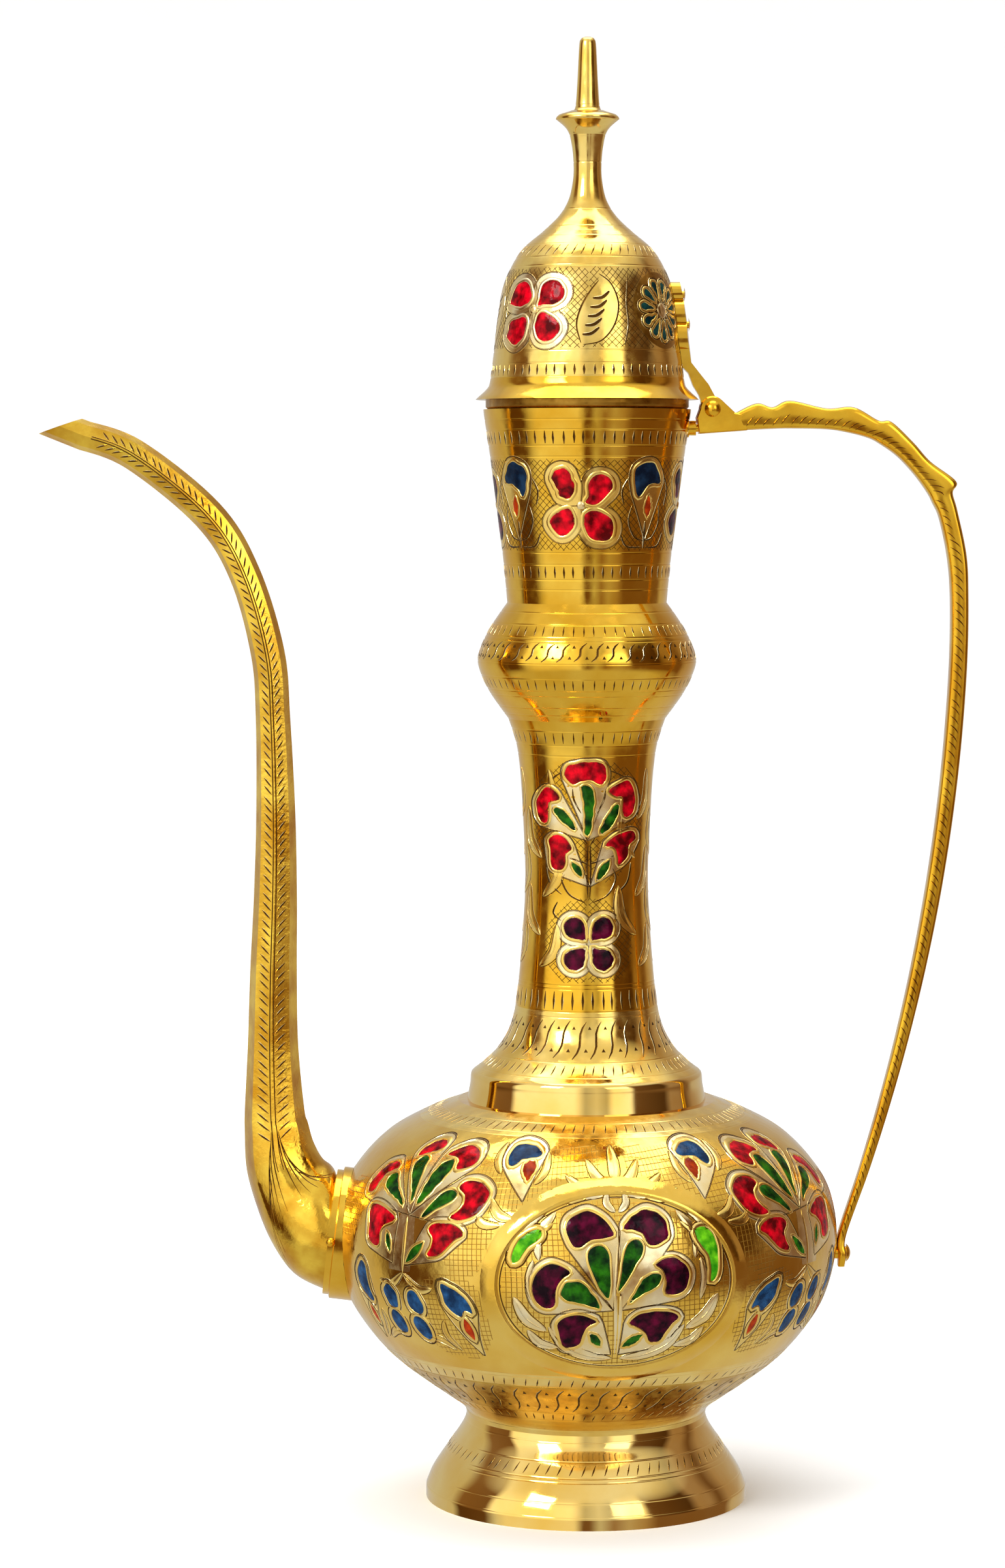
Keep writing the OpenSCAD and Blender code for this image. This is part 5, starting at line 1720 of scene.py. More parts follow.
@dataclass
class Cup(Turned):
    """Flared mouth with flowers and buds in turn."""

    node: str = "mouth_cup"
    runs: Runs = (
        ((20.7, 234.6), (21.94, 247.57), (24.17, 265.54), (26.59, 282.0), (26.9, 284.5)),
    )
    grooves: Sizes = (238.2, 240.8, 244.7, 247.7, 272.2, 275.0, 279.1, 281.7)
    bands: Bands = (Band(275.5, 278.7, 62, width=0.8), Band(241.3, 244.2, 54, width=0.7))
    glass: Glass = (
        ("cup_red_enamel", Tint.RED), ("cup_purple_enamel", Tint.PURPLE), ("cup_blue_enamel", Tint.NAVY),
        ("cup_orange_enamel", Tint.ORANGE),
    )
    flower_turn: float = -5.0
    flower_z: float = 259.8
    bud_turn: float = 44.0
    hub_r: float = 1.1

    PETALS = (
        ((-7.4, 7.3), (-7, 5.8), (-5.8, 4), (-5.4, 2.4), (-4, 1.8), (-2.8, 2), (-2, 3.1), (-1.6, 4.8),
         (-2.4, 7), (-3.2, 8.8), (-5.1, 9.4), (-6.7, 8.7)),
        ((1.2, 0.9), (2, 0.4), (3.6, 0.1), (5.5, 1.5), (7.2, 3.1), (8, 4.5), (7.7, 6.5), (6.4, 7.6),
         (4.7, 7.9), (3.1, 7.3), (2.1, 5.4), (2, 2.6)),
        ((-8, -4.1), (-7.7, -5.2), (-6.7, -6.6), (-5.4, -7.6), (-3.7, -7.4), (-2.1, -5.7), (-1.6, -4.1),
         (-2.1, -2.1), (-2.9, -0.8), (-3.9, -0.8), (-5.7, -1.6), (-7.3, -2.7)),
        ((1, -2.1), (0.9, -3.8), (1, -5.5), (2, -7.7), (3.6, -8.9), (6.1, -8.9), (7.7, -7.7),
         (8.3, -5.5), (7.7, -3.5), (6.4, -2.4), (4.5, -1.6), (2.5, -1.3)),
    )
    BUD = (
        (-4.4, 7.6), (-3.8, 4.5), (-3, 2.4), (-2.1, 2.4), (-0.9, 4.2), (0.8, 5.5), (4.1, 5.6), (4.2, 7),
        (3, 9), (1.4, 10.7), (-1.3, 10.9), (-3.8, 9.7),
    )
    BUD_FOOT = (5.8, 2, 0.6, -3.2, 0.0)
    SCROLLS = (
        ((0, -11), (0.2, -7), (0, -4)), ((0, -9), (3, -8), (5, -4), (4.4, 0)),
        ((0.4, -10.6), (5, -10.4), (7, -7)), ((5.4, 8), (7.4, 4), (6.6, 0)),
    )

    def decorate(self) -> None:
        """Lays the enamel, chasing and hatching."""
        art, petals = self.ornament, all_cut(self.PETALS)
        turns = [self.flower_turn + 90 * k for k in range(4)]
        spots = [self.spot(turn, self.flower_z) for turn in turns]
        buds = [self.spot(turn + self.bud_turn, self.flower_z) for turn in turns]
        for k, (spot, bud) in enumerate(zip(spots, buds)):
            odd = k % 2
            art.flower(spot, petals, Tint.PURPLE if odd else Tint.RED, 1.0, outline=False)
            art.lobes(spot, petals, (0.0, 0.0), 2.0)
            head, foot = facing([hand_cut(self.BUD), *sprigs([self.BUD_FOOT])], odd)
            art.flower(bud, [head], Tint.NAVY, 1.0, outline=False)
            art.flower(bud, [foot], Tint.ORANGE, 0.6, outline=False)
            art.lobes(bud, [head], (-0.4 if odd else 0.4, -9.0), 1.5)
        art.lay_cells()
        for spot, bud in zip(spots, buds):
            art.hub(spot, self.hub_r)
            art.scrolls(bud, both_ways(self.SCROLLS))
        art.hatch(248.2, 271.7, 1.25, (45, 135), Metal.DARK)


@dataclass
class Skirt(Turned):
    """Plug under the lid that fits the cup."""

    node: str = "lid_skirt"
    runs: Runs = (((23.9, 280.5), (24.4, 284.6)), ((26.3, 284.65), (26.3, 286.95)))
    body: Body = Body.LID
    grooves: Sizes = (282.5,)
    # Dark brown here is painted shade under the lid's flare
    metal: Metal = Metal.SCORED


@dataclass
class LidDome(Turned):
    """Domed lid with a flared rim, flowers and daisies in turn."""

    node: str = "lid_dome"
    runs: Runs = (
        (
            (28.9, 287), (28.345, 287.585), (26.31, 289.475), (25.2, 291.5), (24.13, 299.97),
            (23.19, 308.06), (21.72, 316.14), (19.30, 321.92), (16.36, 326.15), (11.8, 330),
        ),
    )
    body: Body = Body.LID
    grooves: Sizes = (292.6, 296.0, 299.2, 320.9, 323.2, 326.6, 328.8)
    metal: Metal = Metal.PALE
    zones: Zones = ((286.9, 292.5, Metal.POLISHED),)
    bands: Bands = (Band(323.6, 326.2, 46, 1.2), Band(293.0, 295.6, 62, width=0.8))
    glass: Glass = (("lid_red_enamel", Tint.RED), ("lid_teal_enamel", Tint.TEAL))
    flowers: Sizes = (-38.0, 142.0)
    daisies: Sizes = (55.0, 235.0)
    leaf_turns: Sizes = (8.5, 98.5, 188.5, 278.5)
    flower_z: float = 309.5
    daisy_petals: int = 11
    daisy_r: float = 9.8

    PETALS = (
        ((1.4, 0.9), (3.1, 1.2), (5.4, 1.3), (7.6, 2.4), (8.3, 4.1), (7.7, 5.6), (6.2, 7), (4.2, 7.4),
         (2.4, 6.7), (1.8, 5), (1.8, 2.8)),
        ((1.8, -1.3), (1, -3.4), (1, -4.4), (1.7, -6.4), (2.8, -7.7), (4.8, -8.1), (6.1, -7.6),
         (7.3, -6.2), (7.9, -4.5), (7.1, -3), (5.7, -1.9), (3.1, -0.8)),
        ((-5, 0.9), (-3, 1.3), (-1.6, 2), (-0.9, 3.4), (-1.5, 5.3), (-2.6, 6.7), (-4, 7.3), (-5.6, 7.1),
         (-7.2, 6.1), (-8.1, 4.5), (-8.9, 2.4), (-8.5, 1.6)),
        ((-3.5, -1.7), (-5.1, -2.1), (-7.3, -2.6), (-8.6, -3.5), (-8.7, -5), (-9.3, -6.4), (-8.5, -7.4),
         (-6.8, -8.5), (-5.3, -8.8), (-4, -8.2), (-2.8, -7), (-2.2, -5.3), (-1.7, -3.4), (-2.2, -2.2)),
    )
    LEAF_SPINE = ((-5, -9), (-0.5, -8), (3, -4), (4.2, 1.5), (2.4, 6.5), (-0.6, 9))
    LEAF_EDGE = ((-5.6, -8.6), (-6.6, -4), (-5.4, 0.5), (-3, 4.6), (-0.8, 7.2))
    LEAF_RAIL = ((5.6, -9.4), (6.8, -4), (6.4, 2), (7, 9))
    SLITS = 5

    def daisy(self, spot: Spot) -> None:
        """Cells of a daisy on its scored ground.

        Args:
            spot: Where it lies.
        """
        turns = [360 * (k + 0.5) / self.daisy_petals for k in range(self.daisy_petals)]
        petals = [moved(moved(drop(4.6, 1.9), 0, 3), 0, 0, turn) for turn in turns]
        self.ornament.flower(spot, petals, Tint.TEAL, 0.75)
        self.ornament.patch(spot, oval(self.daisy_r, self.daisy_r, 48), Metal.SCORED)

    def cut_leaf(self, spot: Spot) -> None:
        """An engraved leaf with slits across it and a line beside it.

        Args:
            spot: Where it lies.
        """
        slits = []
        for i in range(self.SLITS):
            y = 2.3 * i
            slits.append([(-5.2 + 0.7 * i, -6.4 + y), (-3 + 0.75 * i, -6.2 + y), (-0.9 + 0.7 * i, -4.6 + y)])
        self.ornament.scrolls(spot, (self.LEAF_SPINE, self.LEAF_EDGE, self.LEAF_RAIL))
        self.ornament.scrolls(spot, slits, 1.1)
        self.ornament.keep_smooth(spot, np.array(self.LEAF_SPINE + self.LEAF_EDGE[::-1]))

    def decorate(self) -> None:
        """Lays the enamel, chasing and hatching."""
        art, petals = self.ornament, all_cut(self.PETALS)
        flowers = [self.spot(turn, self.flower_z) for turn in self.flowers]
        daisies = [self.spot(turn, self.flower_z) for turn in self.daisies]
        for spot in flowers:
            art.flower(spot, petals, Tint.RED, 1.0, Metal.BRIGHT, False)
            art.lobes(spot, petals, (0.0, 0.0), 2.1, Metal.BRIGHT)
        for spot in daisies:
            self.daisy(spot)
        art.lay_cells()
        for spots, r in ((flowers, 1.3), (daisies, 2.0)):
            for spot in spots:
                art.hub(spot, r)
        for turn in self.leaf_turns:
            self.cut_leaf(self.spot(turn, self.flower_z))
        art.hatch(299.7, 320.4, 1.25, (45, 135), Metal.DARK)


@dataclass
class Finial(Turned):
    """Stem, disc and spire on the lid."""

    node: str = "lid_finial"
    runs: Runs = (
        (
            (11.8, 330), (7.54, 334.1), (4.99, 338.19), (3.85, 342.87), (3.6, 346.97), (4.01, 351.94),
            (5.2, 356.25), (8.4, 359.25),
        ),
        (
            (7.3, 360.25), (4.2, 361.25), (3.2, 362), (2.7, 368), (2.2, 377.5), (1.9, 379.3), (1.1, 380),
            (0.02, 380.001),
        ),
    )
    body: Body = Body.LID
    grooves: Sizes = (331.4, 336.0, 348.0, 355.0, 362.6)
    metal: Metal = Metal.PALE
    hollow: bool = False


STROKE = np.array([-1.0, -0.75, 0.0, 0.75, 1.0])
STROKE_HEIGHTS = np.array([-0.03, 0.05, 0.01, 0.05, -0.03])
STROKE_END = 0.25


@dataclass
class Handle:
    """Cast handle: a fork at the hinge, a humped arch and a bowed grip."""

    pin: Point = (32.3, 284.6)
    reach: float = 64.3
    arch_w: float = 7.0
    grip_drop: float = 63.0
    grip_d: float = 4.5
    bow: float = 6.0
    foot_w: float = 5.4
    pad_x: float = 66.0
    pad_t: float = 2.2
    rivet_z: float = 64.0
    fork_w: float = 8.4
    fork_len: float = 26.0
    fork_back: float = 4.0
    fork_in: float = 0.2
    slot_w: float = 4.4
    ear_r: float = 3.3
    square: float = 0.42
    around: int = 28
    stroke_pitch: float = 2.3
    stroke_lean: float = 2.3
    stroke_w: float = 0.56
    work: MeshWork = field(default_factory=MeshWork)

    ARCH = (
        (0.093, -5.6, 0.093, -1), (0.179, -5.3, 0.179, 1.5), (0.243, -5.1, 0.243, 0.5),
        (0.313, -5, 0.313, 2.2), (0.457, -5.2, 0.46, 0.2), (0.544, -6, 0.569, 0.5),
        (0.628, -7.4, 0.669, -2.9), (0.677, -9, 0.722, -3.3), (0.747, -12.2, 0.81, -8.6),
        (0.816, -16.9, 0.879, -13.5), (0.868, -21.5, 0.983, -18.6), (0.891, -24.3, 0.97, -21.6),
        (0.918, -28.2, 0.989, -26.2), (0.95, -37.6, 1.027, -37.6), (0.965, -47.8, 1.036, -47.8),
    )
    EAR = ((-4.1, -2.2), (-3.4, -6.4), (9, -5.5), (9, -1.6), (5.8, -0.9))
    CHIN = ((-3.86, -3.7), (-3.4, -6.4), (9, -5.5), (9, -3.7))

    def __post_init__(self) -> None:
        """Draws the line of the bar: inner and outer edge points and half width."""
        px, pz = self.pin
        rows = []
        for a, b, c, d in self.ARCH:
            rows.append((px + self.reach * a, pz + b, px + self.reach * c, pz + d, self.arch_w / 2))
        x0, z0 = px + self.reach, pz - self.grip_drop
        x1, z1 = self.pad_x + self.pad_t / 2, self.rivet_z + 5
        for t in np.linspace(0, 1, 10):
            x = x0 + (x1 - x0) * t + 4 * self.bow * t * (1 - t)
            z = z0 + (z1 - z0) * t
            d = (self.grip_d + (self.pad_t - self.grip_d) * t * t) / 2
            rows.append((x - d, z, x + d, z, (self.arch_w + (self.foot_w - self.arch_w) * t) / 2))
        for z, share, half in ((self.rivet_z, 1.0, 3.5), (self.rivet_z - 3.4, 0.8, 2.33)):
            rows.append((self.pad_x, z, self.pad_x + share * self.pad_t, z, half))
        self.line = smooth_line(rows, 8)
        self.s = distances((self.line[:, :2] + self.line[:, 2:4]) / 2)

    @staticmethod
    def between(row: Array, share: Array) -> Array:
        """Distances along X and heights from the bar's inner edge, share -1, to its outer edge, share 1."""
        inner, outer = row[..., :2], row[..., 2:4]
        return (inner + outer) / 2 + (outer - inner) / 2 * share[..., None]

    def place(self, s: Array, share: Array, h: Array, sign: float) -> Array:
        """Points on one side of the bar.

        Args:
            s: Distances along it.
            share: -1 at the inner edge to 1 at the outer edge.
            h: Distances off the surface.
            sign: Sign of the side along Y.

        Returns:
            The points.
        """
        row = np.stack([np.interp(s, self.s, col) for col in self.line.T], -1)
        flat = (1 - np.abs(np.clip(share, -0.97, 0.97)) ** (2 / self.square)) ** (self.square / 2)
        at = self.between(row, share)
        return np.stack([at[..., 0], sign * (row[..., 4] * flat + h), at[..., 1]], -1)

    def bar(self) -> None:
        """Sweeps the bar."""
        t = np.radians(np.arange(self.around) * 360 / self.around)
        c, s = (np.sign(v) * np.abs(v) ** self.square for v in (np.cos(t), np.sin(t)))
        row = self.line[:, None]
        at = self.between(row, c)
        self.work.tube(np.stack([at[..., 0], -row[..., 4] * s, at[..., 1]], -1), Metal.CAST)

    def plate(self, outline: Array, y0: float, y1: float, bevel: float = 0.35) -> None:
        """A flat piece with bevelled edges, which draws in from the fork to the arch.

        Args:
            outline: Its outline, along X and up.
            y0: Its lower side along Y.
            y1: Its upper side along Y.
            bevel: Size of the bevel.
        """
        small = grown(outline, -bevel)
        layers = [(small, y1), (outline, y1 - bevel), (outline, y0 + bevel), (small, y0)]
        rings = np.stack([np.stack([p[:, 0], np.full(len(p), y), p[:, 1]], -1) for p, y in layers])
        narrowing = self.fork_w - self.arch_w + self.fork_in
        lean = (rings[..., 0] - self.pin[0] + self.fork_back) * narrowing / self.fork_len
        y = rings[..., 1]
        rings[..., 1] = y - np.where(np.abs(y) > self.arch_w / 2, np.sign(y) * lean, 0)
        self.work.tube(rings, Metal.CAST, False)

    def fork(self) -> None:
        """Two ears round the hinge and the chin below them."""
        t = np.radians(np.linspace(46, 180, 16))
        arc = np.stack([self.ear_r * np.cos(t), self.ear_r * np.sin(t)], -1)
        ear, chin = np.vstack([arc, self.EAR]) + np.array(self.pin), np.array(self.CHIN) + np.array(self.pin)
        low, high = self.slot_w / 2, self.fork_w / 2
        self.plate(ear, low, high)
        self.plate(ear, -high, -low)
        self.plate(chin, -low - 0.6, low + 0.6, 0.1)

    def strokes(self) -> None:
        """Slanted strokes along both sides, shorter on the arch's first stretch."""
        rng = np.random.default_rng(SEED)
        k = np.linspace(-0.5, 0.5, 5)
        size = run_out(len(k), STROKE_END) * self.stroke_w / 2
        for sign in (1.0, -1.0):
            for start in np.arange(4.0, self.s[-1] - 8, self.stroke_pitch):
                jog = rng.normal(0, 0.2, 2)
                reach, mid = (0.7, -0.25) if start < 75 else (1.0, 0.0)
                x = start + jog[0] + self.stroke_lean * k
                y = mid + 0.15 * jog[1] + reach * (k - 0.5 * k * k)
                verts = self.place(x[:, None] + size[:, None] * STROKE, y[:, None], STROKE_HEIGHTS, sign)
                self.work.strip(verts, furrow(Metal.CAST), False, sign > 0)

    def dress(self, palette: Palette) -> None:
        """Builds the handle.

        Args:
            palette: The materials.
        """
        self.bar()
        self.fork()
        self.strokes()
        made = self.work.to_object("handle_brass", palette.metals)
        hand_over(made, Body.VESSEL, "cast_brass", "handle")


@dataclass
class Spout:
    """Hollow spout: a round bulb at the belly, an eight-sided stem, a slanted mouth."""

    root: Point = (-61.985, 69.0)
    rise: float = 7.0
    wall: float = 1.2
    slope: float = 19.0
    tip_r: float = 3.9
    sides: int = 8
    facet_z: float = 6.0
    facet_run: float = 22.0
    around: int = 64
    strokes_z: float = 95.0
    stroke_pitch: float = 2.3
    ridges: Sizes = (270.0, 90.0)
    work: MeshWork = field(default_factory=MeshWork)

    SEAT = (3.25, 5.5)
    BULB = (
        (9.3, 3.3, 14.6, 21), (12.6, 7.7, 13, 35), (15.7, 13.5, 10.8, 53), (18.2, 20.6, 9.5, 68),
        (19.2, 28, 8.4, 80),
    )
    STEM = (0, 0.17, 0.36, 0.55, 0.76, 1)
    BEND = (
        (21, 152.5, 4.4, 79), (26.9, 173, 4.1, 66), (36.4, 188.4, 4.2, 48), (55.5, 203.9, 4.1, 31),
        (69, 209, 3.9, 22),
    )

    def __post_init__(self) -> None:
        """Draws the line: place, radius and tilt along the spout."""
        rise = math.radians(self.rise)
        seat = [(k * math.cos(rise), k * math.sin(rise), 15.0, self.rise) for k in self.SEAT]
        stem = []
        for k in self.STEM:
            x, r = 19.5 + 0.5 * math.cos(2 * math.pi * (k - 0.2)), 7 - 2.5 * k + (0.8 if k == 0 else 0)
            stem.append((x, 33 + 102 * k, r, 88))
        line = np.vstack([seat[:1], smooth_line([*seat[1:], *self.BULB, *stem, *self.BEND], 9)])
        line[:, 0], line[:, 1] = self.root[0] - line[:, 0], self.root[1] + line[:, 1]
        self.line = line
        self.s = distances(line[:, :2])
        self.facet = np.clip((line[:, 1] - self.root[1] - self.facet_z) / self.facet_run, 0, 1)

    def place(self, x: Array, y: Array, h: Array | float) -> Array:
        """Points of the outside.

        Args:
            x: Distances along the spout.
            y: Degrees round it.
            h: Distances off the surface.

        Returns:
            The points.
        """
        cx, cz, r, tilt = (np.interp(x, self.s, col) for col in self.line.T)
        facet = np.interp(x, self.s, self.facet)
        a, t, half = np.radians(y), np.radians(tilt), 180 / self.sides
        off = np.radians(np.mod(y, 2 * half) - half)
        f = (r + h) * (1 - facet + facet * math.cos(math.radians(half)) / np.cos(off))
        out = f * np.cos(a)
        return np.stack([cx + out * np.sin(t), f * np.sin(a), cz + out * np.cos(t)], -1)

    def shell(self) -> None:
        """Sweeps the outside and the inside and runs both on to the mouth's cut."""
        angles = np.arange(self.around) * 360 / self.around
        x, y = np.meshgrid(self.s, angles, indexing="ij")
        tip = self.line[-1]
        edge = np.array([tip[0] + 0.25 * self.tip_r, tip[1] + 1.13 * self.tip_r])
        t, m = math.radians(tip[3]), math.radians(self.slope)
        along, normal = np.array([-math.cos(t), math.sin(t)]), np.array([-math.sin(m), math.cos(m)])
        shells = []
        for inset in (0.0, self.wall):
            ring = self.place(x, y, -inset)
            run = (edge - ring[-1][:, [0, 2]]) @ normal / (along @ normal)
            ring[-1][:, [0, 2]] += run[:, None] * along
            shells.append(ring)
        outer, inner = shells
        faces = grid_faces(len(self.s), self.around, True)
        self.work.add(outer, faces[:, ::-1], Metal.BEATEN)
        self.work.add(inner, faces, Metal.POLISHED)
        rim = grid_faces(2, self.around, True)
        for row, side in ((-1, rim[:, ::-1]), (0, rim)):
            self.work.add(np.stack([outer[row], inner[row]]), side, Metal.BRIGHT, False)

    def sharpen(self, made: Object) -> None:
        """Marks the edges between the facets of the stem as sharp.

        Args:
            made: The spout's object.
        """
        mesh = made.data
        sharp = mesh.attributes.new("sharp_edge", "BOOLEAN", "EDGE")
        pairs = np.zeros(len(mesh.edges) * 2, np.int32)
        mesh.edges.foreach_get("vertices", pairs)
        a, b = pairs.reshape(-1, 2).T
        count = len(self.s) * self.around
        step = self.around // self.sides
        edge = (a < count) & (b < count) & (a % self.around == b % self.around) & (a % step == 0)
        edge &= self.facet[np.minimum(a // self.around, len(self.s) - 1)] > 0.5
        sharp.data.foreach_set("value", edge)

    def strokes(self) -> None:
        """Herringbone strokes beside the front and back edges, and long strokes on the bulb."""
        rng = np.random.default_rng(SEED)
        start = float(np.interp(self.strokes_z, self.line[:, 1], self.s))
        sides = [(ridge, side) for ridge in self.ridges for side in (1.0, -1.0)]
        for ridge, side in sides:
            k = np.linspace(0, 1, 5)
            for x in np.arange(start, self.s[-1] - 6, self.stroke_pitch):
                jog = rng.normal(0, 0.12, 2)
                y = ridge + side * (9 + 26 * k + 2 * jog[1])
                self.engrave(x + jog[0] + 2.4 * k, y, 0.6)
            run = np.linspace(start - 8, self.s[-1] - 3, 150)
            self.engrave(run, np.full(len(run), ridge + side * 4.5), 0.4, False)
        for ridge, side in sides:
            k = np.linspace(0, 1, 12)
            for lead in np.linspace(0, 1, 6):
                x = 7 + 8 * lead + (16 + 6 * lead) * k
                self.engrave(x, ridge + side * (75 - 62 * lead) * (1 - 0.75 * k), 0.5)

    def engrave(self, x: Array, y: Array, width: float, taper: bool = True) -> None:
        """Engraves one stroke.

        Args:
            x: Distances along the spout.
            y: Degrees round it.
            width: Width of the stroke at its middle.
            taper: Whether its ends run out.
        """
        r = np.interp(x, self.s, self.line[:, 2])
        n = across(np.stack([x, np.radians(y) * r], -1))
        size = (run_out(len(x), STROKE_END) if taper else np.ones(len(x))) * width / 2
        off = size[:, None] * STROKE
        px = x[:, None] + n[:, :1] * off
        py = y[:, None] + np.degrees(n[:, 1:] * off / r[:, None])
        self.work.strip(self.place(px, py, STROKE_HEIGHTS), furrow(Metal.BRIGHT), False, False)

    def dress(self, palette: Palette) -> None:
        """Builds the spout.

        Args:
            palette: The materials.
        """
        self.shell()
        self.strokes()
        made = self.work.to_object("spout_brass", palette.metals)
        self.sharpen(made)
        hand_over(made, Body.VESSEL, "spun_brass", "spout")


@dataclass(frozen=True)
class SmallBrass:
    """Small pieces shown as they are constructed, with their metals."""

    pieces: tuple[tuple[str, Metal], ...] = (
        ("lid_strap", Metal.POLISHED), ("strap_rivets", Metal.POLISHED), ("hinge_pin", Metal.CAST),
        ("handle_lug", Metal.CAST), ("handle_rivet", Metal.CAST), ("spout_flange", Metal.POLISHED),
        ("spout_pin", Metal.CAST),
    )

    def dress(self, palette: Palette) -> None:
        """Gives each piece its metal.

        Args:
            palette: The materials.
        """
        for node, metal in self.pieces:
            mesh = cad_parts[node].data
            mesh.materials.clear()
            mesh.materials.append(palette.metals[metal.value])
            LOG.info("%s: kept", node)


# Studio


@dataclass(frozen=True)
class Lamp:
    """A square lamp: where it hangs and what it points at, its side and its power in watts."""

    name: str
    at: Sequence[float]
    aim: Sequence[float]
    size: float
    power: float

    def hang(self) -> None:
        """Hangs the lamp and aims it."""
        data = bpy.data.lights.new(self.name, "AREA")
        data.size = self.size
        data.energy = self.power
        made = bpy.data.objects.new(self.name, data)
        made.location = self.at
        way = np.array(self.aim) - np.array(self.at)
        flat = math.hypot(way[0], way[1])
        made.rotation_euler = (math.atan2(flat, -way[2]), 0.0, math.atan2(-way[0], way[1]))
        bpy.context.scene.collection.objects.link(made)


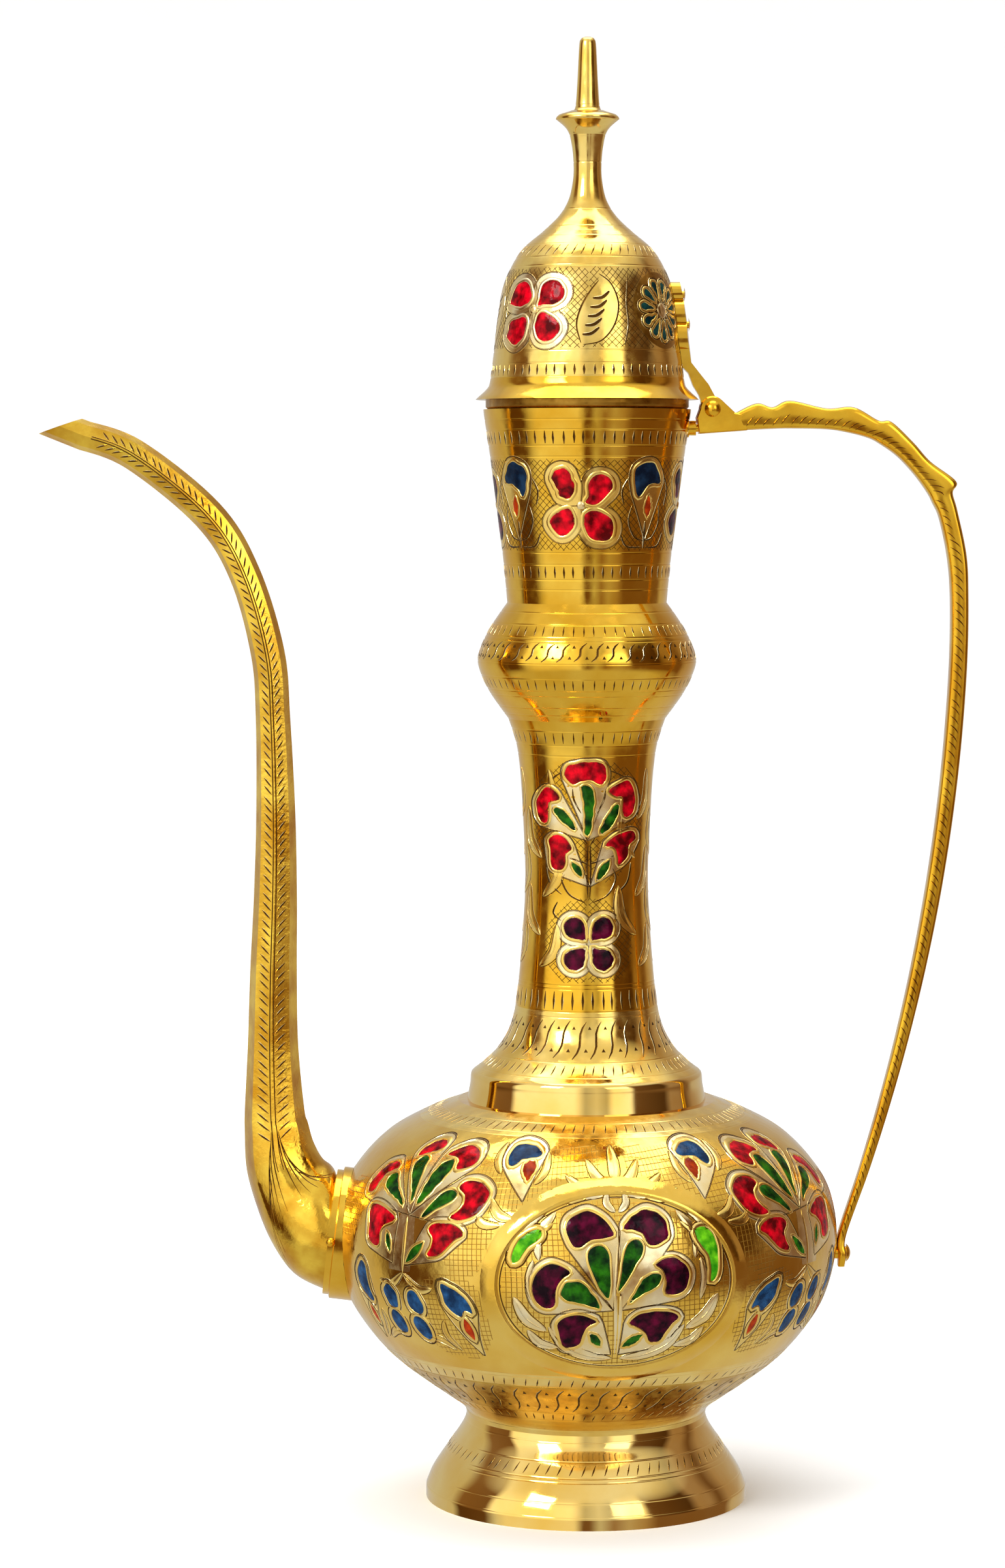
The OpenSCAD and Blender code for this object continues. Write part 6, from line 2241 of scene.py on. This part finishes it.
@dataclass(frozen=True)
class Studio:
    """White studio with the darker things that the brass mirrors, and the camera."""

    eye: tuple[float, float, float] = (-0.02193, -1.124, 0.26588)
    pitch: float = 86.0
    lens: float = 99.29
    sensor: float = 36.0
    floor_half: float = 30.0
    bend_y: float = 1.5
    bend_r: float = 1.2
    backdrop_h: float = 4.0
    lamps: tuple[Lamp, ...] = (
        Lamp("key", (-0.75, -0.9, 0.95), (0.0, 0.0, 0.2), 0.45, 11.0),
        Lamp("fill", (0.6, -1.0, 0.7), (0.0, 0.0, 0.2), 0.5, 1.0),
        Lamp("top", (0.0, 0.3, 1.5), (0.0, 0.1, 0.0), 1.2, 14.0),
    )
    brightness: float = 2.0
    floor_tone: float = 0.66
    ceiling_tone: float = 0.95
    steps: tuple[Point, ...] = ((0.24, 0.32), (0.47, 0.51), (0.78, 0.88))
    low: tuple[Point, ...] = (
        (-180, 0.6), (-112, 0.62), (-104, 0.08), (-78, 0.1), (-68, 0.75), (-60, 1.0), (-9, 1.0),
        (-3, 0.14), (2, 0.16), (9, 0.6), (19, 0.28), (30, 0.5), (42, 0.38), (52, 0.17), (118, 0.17),
        (128, 0.5), (180, 0.6),
    )
    high: tuple[Point, ...] = (
        (-180, 0.6), (-114, 0.6), (-104, 0.2), (-80, 0.16), (-74, 1.3), (-12, 1.4), (-2, 0.6),
        (9, 0.85), (19, 0.6), (26, 1.4), (43, 1.4), (48, 0.12), (82, 0.06), (90, 0.32), (102, 0.3),
        (112, 0.12), (124, 0.35), (180, 0.6),
    )

    @staticmethod
    def shade(tone: float) -> Colour:
        """Half the colour of a tone of the surroundings: the dark things are brown, the pale ones white.

        Args:
            tone: The tone.

        Returns:
            The colour.
        """
        pale = min(1.0, max(0.0, (tone - 0.08) / 0.5))
        warmth = (1.3 - 0.3 * pale, 0.62 + 0.38 * pale, 0.25 + 0.75 * pale)
        return tuple(0.5 * tone * part for part in warmth)

    def world(self) -> None:
        """Paints the surroundings by direction: bands round the horizon, a pale ceiling above."""
        made = bpy.data.worlds.new("studio")
        bpy.context.scene.world = made
        made.use_nodes = True
        nodes = Nodes(made.node_tree)
        out, light = nodes.add("ShaderNodeOutputWorld"), nodes.add("ShaderNodeBackground")
        where, parts = nodes.add("ShaderNodeTexCoord"), nodes.add("ShaderNodeSeparateXYZ")
        nodes.link(where.outputs["Generated"], parts.inputs["Vector"])
        back = nodes.reckon("MULTIPLY", parts.outputs["Y"], -1.0)
        turn = nodes.reckon("ARCTAN2", parts.outputs["X"], back)
        share = nodes.reckon("MULTIPLY_ADD", turn, 0.5 / math.pi, 0.5)
        height = nodes.reckon("MULTIPLY_ADD", parts.outputs["Z"], 0.5, 0.5)
        rows = [
            nodes.ramp(share, [(angle / 360 + 0.5, self.shade(tone)) for angle, tone in row])
            for row in (self.low, self.high)
        ]
        nodes.link(self.layered(nodes, height, rows), light.inputs["Color"])
        light.inputs["Strength"].default_value = self.brightness
        nodes.link(light.outputs["Background"], out.inputs["Surface"])

    def layered(self, nodes: Nodes, height: Socket, rows: Sequence[Socket]) -> Socket:
        """Stacks the floor, the two rows of bands and the ceiling.

        Args:
            nodes: The world's nodes.
            height: Height of the direction, 0 straight down and 1 straight up.
            rows: Colours of the lower and the upper row.

        Returns:
            The colour socket.
        """
        seen: Socket | float = self.floor_tone
        for (start, end), over in zip(self.steps, (*rows, self.ceiling_tone)):
            mix = nodes.add("ShaderNodeMix", data_type="RGBA")
            nodes.link(nodes.ramp(height, [(start, grey(0.0)), (end, grey(1.0))]), mix.inputs[0])
            for socket, layer in ((mix.inputs[6], seen), (mix.inputs[7], over)):
                if isinstance(layer, float):
                    socket.default_value = (*self.shade(layer), 1.0)
                else:
                    nodes.link(layer, socket)
            seen = mix.outputs[2]
        return seen

    def sweep(self) -> None:
        """Lays a pale floor that curves up into a backdrop."""
        bend = np.radians(np.linspace(0, 90, 13))
        y, z = self.bend_y + self.bend_r * np.sin(bend), self.bend_r - self.bend_r * np.cos(bend)
        line = [(-self.floor_half, 0.0), *zip(y, z), (self.bend_y + self.bend_r, self.backdrop_h)]
        verts = np.array([(x, y, z) for y, z in line for x in (-self.floor_half, self.floor_half)])
        work = MeshWork()
        work.add(verts / MM, grid_faces(len(line), 2))
        made = work.to_object("backdrop", [self.paper()])
        made.visible_glossy = False

    def paper(self) -> Material:
        """Pale matt paper with a faint grain.

        Returns:
            The material.
        """
        made, nodes, shader = new_material("paper")
        shader.inputs["Roughness"].default_value = 0.9
        tone = nodes.ramp(nodes.noise(3.0), [(0.3, (0.93, 0.93, 0.92)), (0.7, (0.95, 0.95, 0.94))])
        nodes.link(tone, shader.inputs["Base Color"])
        return made

    def camera(self) -> None:
        """Sets the camera where the photographer stood."""
        data = bpy.data.cameras.new("camera")
        data.lens = self.lens
        data.sensor_width = self.sensor
        made = bpy.data.objects.new("camera", data)
        made.location = self.eye
        made.rotation_euler = (math.radians(self.pitch), 0.0, 0.0)
        bpy.context.scene.collection.objects.link(made)
        bpy.context.scene.camera = made

    def build(self) -> None:
        """Sets up the whole studio."""
        self.world()
        self.sweep()
        for lamp in self.lamps:
            lamp.hang()
        self.camera()
        bpy.context.scene.view_settings.view_transform = "Standard"


def main() -> None:
    """Builds every piece in order, then the studio."""
    logging.basicConfig(level=logging.INFO, format="%(name)s %(message)s")
    palette = Palette()
    turned = (Foot(), Belly(), Neck(), Knop(), Cup(), Skirt(), LidDome(), Finial())
    for piece in (*turned, Handle(), Spout(), SmallBrass()):
        piece.dress(palette)
    Studio().build()
    bpy.context.view_layer.update()


if __name__ == "__main__":
    main()
